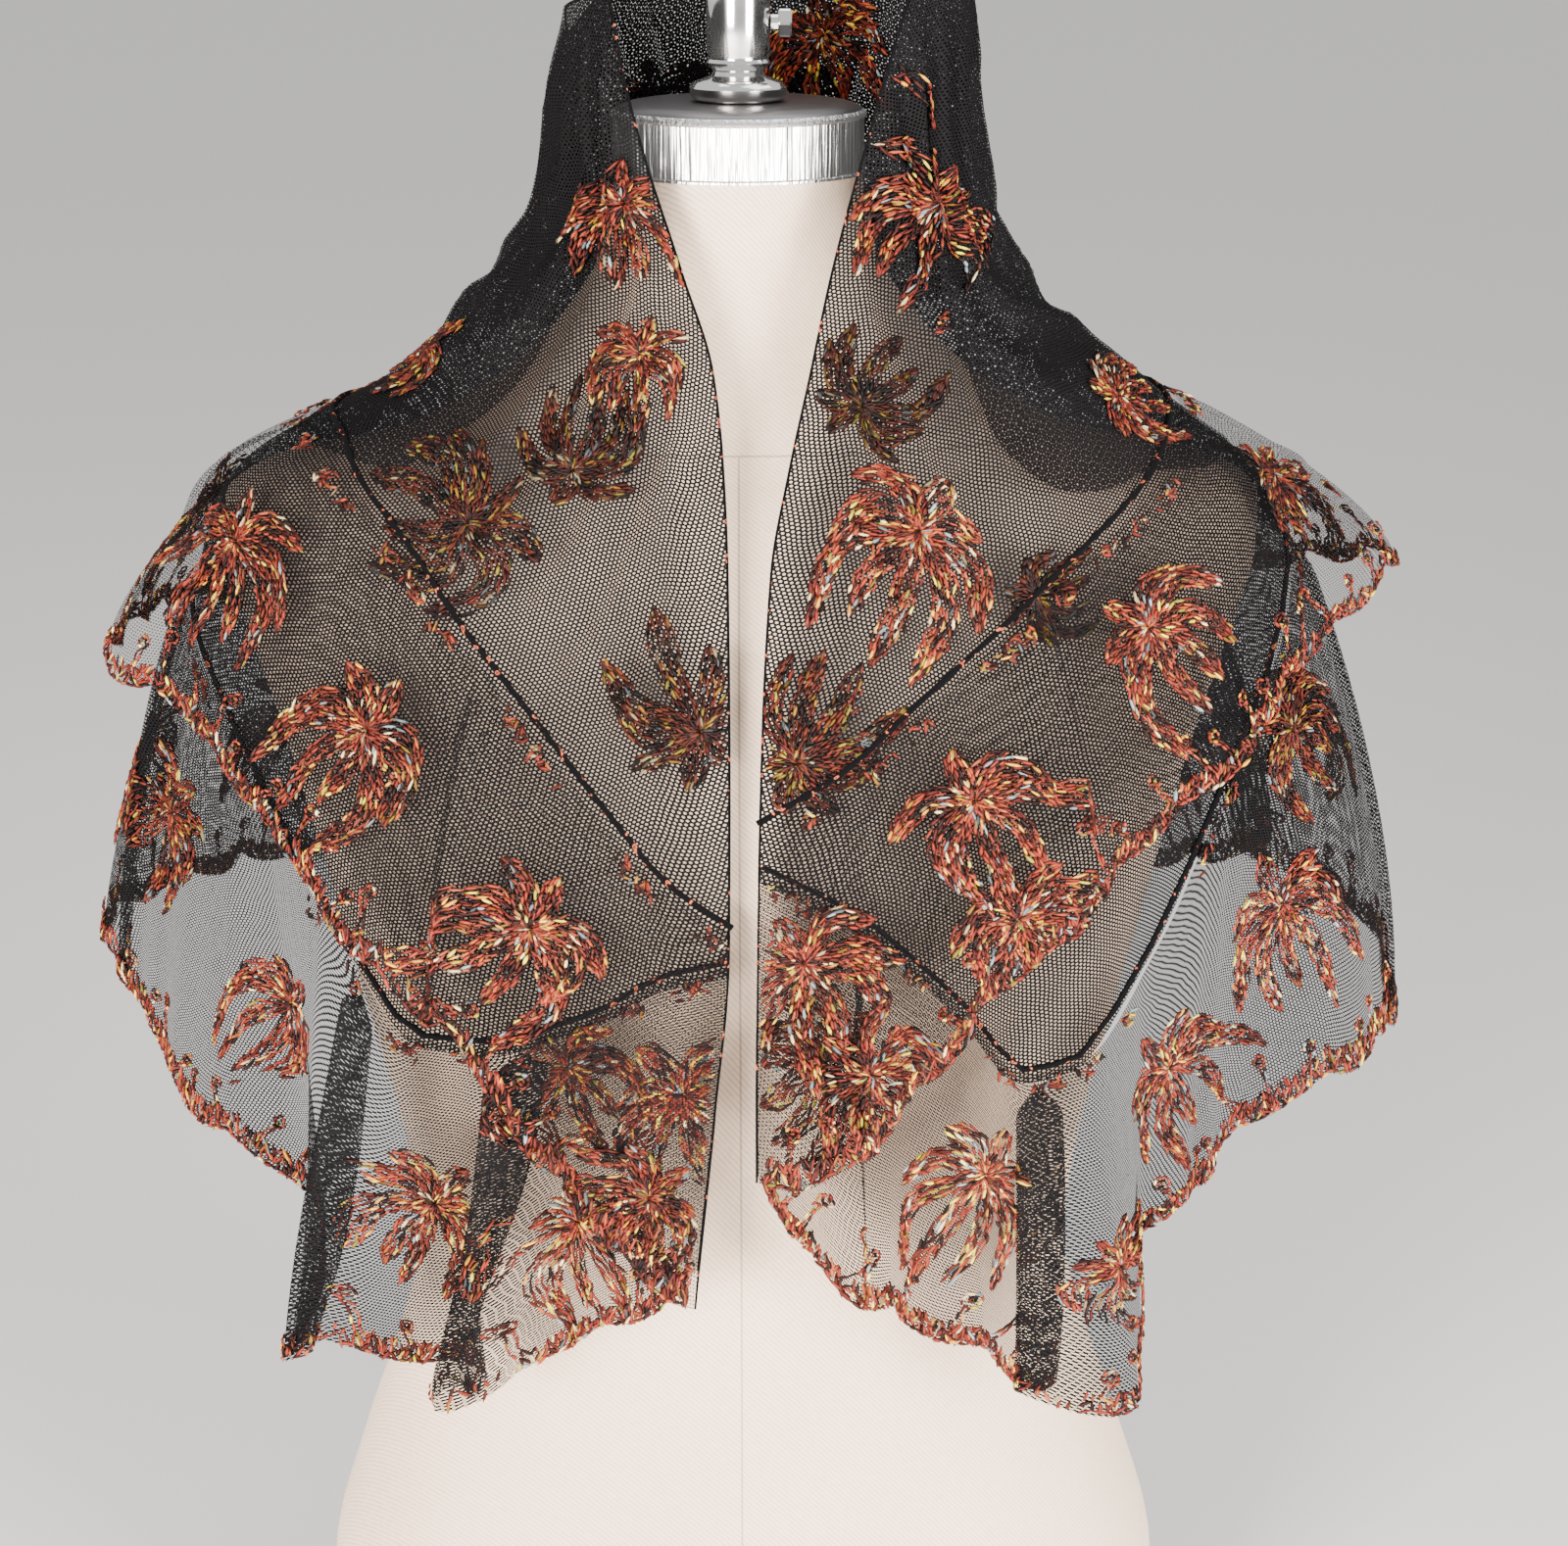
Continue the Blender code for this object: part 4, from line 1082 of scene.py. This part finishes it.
# Shades below 1 are painted shade that darkens these blooms' thread.
LOWER_BLOOMS = [
    Bloom(0.210, 0.42, 0, 0.95, 0.6),
    Bloom(0.152, 0.50, -5, 0.95),
    Bloom(0.010, 0.36, 0, 1.05, 0.95),
    Bloom(0.079, 0.50, -20, 0.9, 0.9),
    Bloom(0.037, 0.62, -5, 0.95),
    Bloom(0.045, 0.12, 0, 0.8, 0.6),
    Bloom(0.793, 0.52, 0, 1.05),
    Bloom(0.785, 0.18, 5, 0.85, 0.5),
    Bloom(0.838, 0.50, 8, 0.9, 0.9),
    Bloom(0.924, 0.44, 10),
    Bloom(0.884, 0.60, 0, 0.60),
    Bloom(0.972, 0.42, 0, 1.0, 0.7),
    Bloom(0.265, 0.50, 0, 0.95),
    Bloom(0.325, 0.48, 0, 0.95),
    Bloom(0.385, 0.52, 5, 0.95),
    Bloom(0.445, 0.48),
    Bloom(0.505, 0.52, -5),
    Bloom(0.565, 0.48),
    Bloom(0.630, 0.52, 0, 0.95),
    Bloom(0.695, 0.48, 0, 0.95),
]


def above_cloth(azimuth, height, distance):
    """Distance from the body's axis to a surface that stands off the cloth by a distance square to it."""
    step = 0.001
    lean = (cloth_radius(azimuth, height + step) - cloth_radius(azimuth, height - step)) / (2 * step)
    return cloth_radius(azimuth, height) + distance * np.sqrt(1 + lean**2)


def flounce_radius(azimuth, height, top, which, fall_power, table):
    """Distance from the body's axis to a flounce that falls with its folds from its top to its hem."""
    hem = station(azimuth, which + "_hem")
    fallen = np.clip((top - height) / np.maximum(top - hem, 0.001), 0, 1.1)
    start = above_cloth(azimuth, top, OFF_YOKE)
    outward = station(azimuth, which + "_reach") - start
    radius = start + outward * (1 - np.abs(1 - fallen) ** fall_power * np.sign(1 - fallen))
    folds = sum(fold.rise * np.exp(-(((azimuth - fold.azimuth) / fold.width) ** 2)) for fold in table)
    return radius + folds * fallen**1.3


def lower_top(azimuth):
    return station(azimuth, "lower_seam") + SEAM_OVERLAP


def lower_radius(azimuth, height):
    top = lower_top(azimuth)
    radius = flounce_radius(azimuth, height, top, "lower", 1.7, LOWER_FOLDS)
    on_yoke = above_cloth(azimuth, height, OFF_YOKE)
    return np.where(height > top - 2 * SEAM_OVERLAP, np.maximum(radius, on_yoke), radius)


def hem_columns(which):
    """Shares that part a hem into equal lengths, and the place of each in its scallop."""
    fine = np.linspace(0.0, 360.0, 2881)
    points = place(fine, station(fine, which + "_reach"), station(fine, which + "_hem"))
    along = np.concatenate([[0], np.cumsum(np.linalg.norm(np.diff(points, axis=0), axis=1))])
    count = round(along[-1] / SCALLOP_PITCH) * COLUMNS_PER_SCALLOP
    shares = np.interp(np.linspace(0, along[-1], count + 1), along, fine) / 360
    return shares, np.arange(count + 1) / COLUMNS_PER_SCALLOP


def flounce_points(which, radius_at, top_at, steps):
    """Points of a flounce's cloth: a row for each step down, a column for each place along the hem."""
    shares, scallop = hem_columns(which)
    lobe = np.abs(np.sin(np.pi * scallop))
    azimuth = 360 * shares
    top = top_at(azimuth)
    hem = station(azimuth, which + "_hem")
    grid = []
    for fallen in np.linspace(0, 1, steps):
        height = top + (hem - top) * fallen - SCALLOP_DEPTH * (lobe - 0.5) * fallen**4
        turned = between_edges(shares, radius_at(azimuth, height), height)
        grid.append(place(turned, radius_at(turned, height), height))
    grid = np.array(grid)
    return grid + grid_normals(grid) * WALL / 2


def folded(grid, pleats, crimps, flutter):
    """A flounce with crimps at its gathered seam, a fluttering hem and doubled pleats."""
    share, fall = shares_and_falls(grid)
    out = grid_normals(grid)
    out[..., 2] = 0
    out = unit(out)
    along = unit(np.gradient(grid, axis=1))
    wander = 0.6 * np.sin(2 * np.pi * 7 * share + 1.0) + 0.5 * np.sin(2 * np.pi * 13 * share + 2.2)
    crimp = 0.5 + 0.5 * np.sin(2 * np.pi * crimps * share + 2 * wander)
    wave = np.sin(2 * np.pi * flutter * share + 3 * wander + 1.5 * fall)
    wave = wave * (0.6 + 0.4 * np.sin(2 * np.pi * 5 * share))
    push = CRIMP_RISE * crimp * (0.15 + fall * 5) * np.exp(-fall * 5) + FLUTTER_RISE * (1 + wave) * fall**2
    slide = 0 * push
    grown = eased(np.clip(fall * 11, 0, 1))
    for pleat in pleats:
        u = (share - pleat.share) / pleat.width
        bell = np.exp(-(u**2))
        slide = slide - pleat.slide * 2.33 * u * bell * grown
        push = push + pleat.out * (1 - 2.0 * u * bell) * np.exp(-(u**2) / 3) * grown
    return grid + out * push[..., None] + along * slide[..., None]


def cut_uv(grid, fullness):
    """Flat coordinates of a flounce cut as a strip that is shorter along its seam than along its hem."""
    seam = np.linalg.norm(np.diff(grid[0], axis=0), axis=1).sum() * fullness
    hem = np.linalg.norm(np.diff(grid[-1], axis=0), axis=1).sum()
    depth = np.linalg.norm(np.diff(grid, axis=0), axis=2).sum(axis=0).mean()
    share, fall = shares_and_falls(grid)
    return np.stack([(share - 0.5) * (seam + (hem - seam) * fall), -fall * depth + 0 * share], axis=-1)


def sew_ringlet(stitches, spot, line, dye, shade=1.0):
    """A short stalk of doubled stitches that ends in a small open ring of them."""
    chance = stitches.chance
    for shift in (-0.0008, 0.0008):
        stitches.sew(spot, line + [shift, 0], dye + shift * 100, shade=shade)
    around = np.linspace(0, 2 * np.pi, 9) + chance.uniform(0, 1)
    radius = chance.uniform(0.0021, 0.0029)
    ring = np.stack([np.cos(around), np.sin(around)], axis=1)
    heart = line[-1] - [0, radius]
    stitches.sew(spot, heart + radius * ring, dye + 0.4, width=STITCH_WIDTH * 1.1, shade=shade)
    stitches.sew(spot, heart + 0.5 * radius * ring[::2], dye, shade=0.4 * shade)


def sew_border(stitches, scallops):
    """The scalloped border: short stitches set across the hem, a row along its edge, and ringlets over it."""
    chance = stitches.chance
    grid = stitches.grid
    length = np.linalg.norm(np.diff(grid[-1], axis=0), axis=1).sum()
    depth = np.linalg.norm(grid[-1] - grid[-2], axis=1).mean() * (len(grid) - 1)
    for inner, outer in BORDER_ROWS:
        count = int(length / BORDER_APART)
        share = np.linspace(0.003, 0.997, count)
        lean = 0.0011 * np.sin(share * length / 0.009 * 2 * np.pi) + chance.normal(0, 0.0008, count)
        wave = 0.0008 * np.sin(share * length / 0.012 * 2 * np.pi) + chance.normal(0, 0.0003, count)
        start = np.stack([share - lean / length, 1 - (inner + wave) / depth], axis=1)
        end = np.stack([share + lean / length, 1 - (outer + wave) / depth], axis=1)
        stitches.pairs(start, end, chance.uniform(0, 1, count), STITCH_WIDTH * 1.1)
    count = int(length / (STITCH_LENGTH * 0.9))
    share = np.linspace(0.003, 0.997, count)
    edge = np.stack([share, 1 - (0.0008 + chance.uniform(0, 0.0005, count)) / depth], axis=1)
    stitches.pairs(edge[:-1], edge[1:], 0.12 * np.arange(count - 1), STITCH_WIDTH * 1.2)
    ringlets = RINGLETS_PER_SCALLOP * scallops
    for k in range(int(ringlets)):
        middle = (k + chance.uniform(0.2, 0.8)) / ringlets
        tall = chance.choice(RINGLET_HEIGHTS)
        curl = chance.uniform(-0.5, 0.5)
        t = np.linspace(0, 1, max(2, int(tall / 0.0026)) + 1)
        stalk = np.stack([curl * tall * t**1.5, -tall * t], axis=1)
        sew_ringlet(stitches, (middle, 1 - RINGLET_FOOT / depth), stalk, chance.uniform(0, 1))


def sew_spots(stitches):
    """Small clusters of coloured stitches beside a gathered seam, with some left out by chance."""
    chance = stitches.chance
    for k in range(SPOTS):
        if chance.random() < 0.15:
            continue
        spot = ((k + chance.uniform(0.2, 0.8)) / SPOTS, SPOT_FALL)
        for _ in range(chance.integers(10, 24)):
            start = chance.normal(0, 1, 2) * [0.0034, 0.0017]
            angle = chance.uniform(0, np.pi)
            line = start + np.array([[-0.5], [0.5]]) * 0.0032 * np.array([[math.cos(angle), math.sin(angle)]])
            stitches.sew(spot, line, chance.uniform(0, 1), shade=chance.uniform(0.4, 1.0))


def make_flounce(which, plain, grid, thread, blooms, seed):
    """A flounce's net with its rolled ends, flowers and border, on the flat coordinates of its cut."""
    name = which + "_flounce"
    uv = cut_uv(grid, FLOUNCE_FULLNESS)
    finish = net_material(name + "_net_fabric", thread)
    net = show(name + "_net", sheet_mesh(name + "_net", grid, uv), finish)
    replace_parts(net, name)
    border = Stitches(grid, plain, seed + 20)
    sew_border(border, (grid.shape[1] - 1) // COLUMNS_PER_SCALLOP)
    sew_spots(border)
    sewn = [
        sew_blooms(name + "_blooms", Stitches(grid, plain, seed), blooms),
        show(name + "_border", border.mesh(name + "_border"), DYED),
        edge_roll(which + "_right_edge", grid[:, 0], FLOUNCE_ROLL),
        edge_roll(which + "_left_edge", grid[:, -1], FLOUNCE_ROLL),
    ]


lower_plain = flounce_points("lower", lower_radius, lower_top, LOWER_STEPS)
lower_grid = folded(lower_plain, LOWER_PLEATS, LOWER_CRIMPS, LOWER_FLUTTER)
make_flounce("lower", lower_plain, lower_grid, LOWER_THREAD, LOWER_BLOOMS, seed=13)

# The upper flounce is a shorter strip of the same net, gathered on round the yoke so that it covers the lower
# flounce's seam. It has the same flowers and border.
FLOUNCE_GAP = 0.0040  # least air between the two flounces
CORD_RADIUS = 0.0011  # the rolled seam that stands up where a flounce is gathered on
UPPER_STEPS = 46
UPPER_THREAD = 0.18
UPPER_CRIMPS = 96
UPPER_FLUTTER = 31
UPPER_FOLDS = [
    Fold(20, 5, 0.0030),
    Fold(38, 6, -0.0040),
    Fold(50, 5, 0.0040),
    Fold(66, 6, -0.0050),
    Fold(80, 5, 0.0060),
    Fold(97, 6, -0.0050),
    Fold(112, 6, 0.0060),
    Fold(134, 7, -0.0050),
    Fold(152, 7, 0.0055),
    Fold(171, 6, -0.0040),
    Fold(190, 6, 0.0045),
    Fold(208, 7, -0.0050),
    Fold(226, 7, 0.0055),
    Fold(246, 6, -0.0050),
    Fold(264, 6, 0.0060),
    Fold(281, 6, -0.0050),
    Fold(297, 5, 0.0050),
    Fold(310, 5, -0.0035),
    Fold(333, 4, 0.0050),
    Fold(343, 4, -0.0030),
]
UPPER_PLEATS = [
    Pleat(0.105, 0.0060, 0.006, 0.002),
    Pleat(0.245, 0.0070, 0.005, 0.003),
    Pleat(0.400, 0.0075, 0.010, 0.003),
    Pleat(0.600, 0.0075, 0.010, 0.003),
    Pleat(0.750, 0.0070, 0.005, 0.003),
    Pleat(0.885, 0.0060, 0.005, 0.002),
]
# Shades below 1 are painted shade that darkens these blooms' thread.
UPPER_BLOOMS = [
    Bloom(0.206, 0.34, 10, 1.0, 0.9),
    Bloom(0.137, 0.44, 0, 1.05, 0.85),
    Bloom(0.070, 0.45, 0, 1.05),
    Bloom(0.018, 0.78, 0, 0.75, 0.6),
    Bloom(0.717, 0.55, 25, 0.9, 0.8),
    Bloom(0.775, 0.34, 10, 0.7, 0.5),
    Bloom(0.854, 0.34, 8, 1.0, 0.95),
    Bloom(0.921, 0.36),
    Bloom(0.912, 0.80, 0, 0.95, 0.95),
    Bloom(0.988, 0.40, -10, 1.0, 0.9),
    Bloom(0.970, 0.78, 0, 0.9, 0.75),
    Bloom(0.275, 0.45),
    Bloom(0.345, 0.50, 6),
    Bloom(0.415, 0.45),
    Bloom(0.485, 0.50, -6, 1.05),
    Bloom(0.555, 0.45),
    Bloom(0.635, 0.50, 4),
]


def upper_top(azimuth):
    return station(azimuth, "upper_seam")


def upper_radius(azimuth, height):
    """Distance from the body's axis to the upper flounce, clear of the yoke and the lower flounce."""
    top = upper_top(azimuth)
    drop = top - height
    radius = flounce_radius(azimuth, height, top, "upper", 1.6, UPPER_FOLDS)
    radius = np.maximum(radius, above_cloth(azimuth, height, OFF_YOKE + 0.003 * np.clip(drop / 0.02, 0, 1)))
    seam = lower_top(azimuth)
    over_lower = lower_radius(azimuth, np.minimum(height, seam)) + WALL + FLOUNCE_GAP
    over_cord = above_cloth(azimuth, height, WALL + 2 * CORD_RADIUS + 0.0032)
    covers = np.clip((seam + 0.028 - height) / 0.010, 0, 1) * np.clip(drop / 0.006, 0, 1)
    return np.maximum(radius, np.maximum(over_lower, over_cord) * covers + radius * (1 - covers))


upper_plain = flounce_points("upper", upper_radius, upper_top, UPPER_STEPS)
upper_grid = folded(upper_plain, UPPER_PLEATS, UPPER_CRIMPS, UPPER_FLUTTER)
make_flounce("upper", upper_plain, upper_grid, UPPER_THREAD, UPPER_BLOOMS, seed=12)

# Each flounce is held by a rolled and corded seam of the same net, sewn over with flecks of coloured thread.
# The cords are the frame's own solids, and only take their finish here.
for cord in ("upper_seam_cord", "lower_seam_cord"):
    finish_solid(cord, ROLLED)

# The shawl is shown on a plain pale floor in a soft bright room, with a lamp at either side of the front and
# a weak one above. The camera looks down from just above the height of the collar.
FLOOR_COLOUR = (0.80, 0.79, 0.77)
ROOM_COLOUR = (0.86, 0.86, 0.86)
ROOM_STRENGTH = 0.95
Lamp = namedtuple("Lamp", "name place aim size power colour")
LAMPS = [
    Lamp("key", (-1.0, -2.0, 0.62), (0, 0, 0.30), (0.8, 0.8), 150, (1.0, 0.95, 0.90)),
    Lamp("fill", (1.5, -1.7, 0.42), (0, 0, 0.28), (0.9, 1.2), 165, (1.0, 0.97, 0.94)),
    Lamp("top", (0.2, 0.5, 1.9), (0, 0, 0.5), (1.2, 0.8), 8, (1.0, 1.0, 1.0)),
]
CAMERA_PLACE = (0.0061, -1.3, 0.7667)
CAMERA_TILT = 0.2815  # radians below level
CAMERA_PAN = -0.0083
FOCAL_PIXELS = 3529.1
PHOTO_WIDTH = 1600
SENSOR_WIDTH = 36.0

bpy.ops.mesh.primitive_plane_add(size=60.0, location=(0, 0, -0.0005))
floor = bpy.context.object
floor.name = "floor"
floor_finish, tree, shader = new_material("pale_floor")
fill(tree, shader, {"Base Color": (*FLOOR_COLOUR, 1), "Roughness": 0.9})
floor.data.materials.append(floor_finish)

scene = bpy.context.scene
scene.world = bpy.data.worlds.new("soft_room")
scene.world.use_nodes = True
room = scene.world.node_tree
fill(room, room.nodes["Background"], {"Color": (*ROOM_COLOUR, 1), "Strength": ROOM_STRENGTH})

for lamp in LAMPS:
    light = bpy.data.lights.new(lamp.name, "AREA")
    light.shape = "RECTANGLE"
    light.size, light.size_y = lamp.size
    light.energy = lamp.power
    light.color = lamp.colour
    holder = bpy.data.objects.new(lamp.name, light)
    scene.collection.objects.link(holder)
    holder.location = lamp.place
    holder.rotation_euler = (Vector(lamp.aim) - Vector(lamp.place)).to_track_quat("-Z", "Y").to_euler()

camera = bpy.data.cameras.new("camera")
camera.sensor_width = SENSOR_WIDTH
camera.lens = SENSOR_WIDTH * FOCAL_PIXELS / PHOTO_WIDTH
camera.clip_start = 0.05
eye = bpy.data.objects.new("camera", camera)
scene.collection.objects.link(eye)
eye.location = CAMERA_PLACE
eye.rotation_euler = (math.radians(90) - CAMERA_TILT, 0, CAMERA_PAN)
scene.camera = eye
scene.cycles.transparent_max_bounces = 40
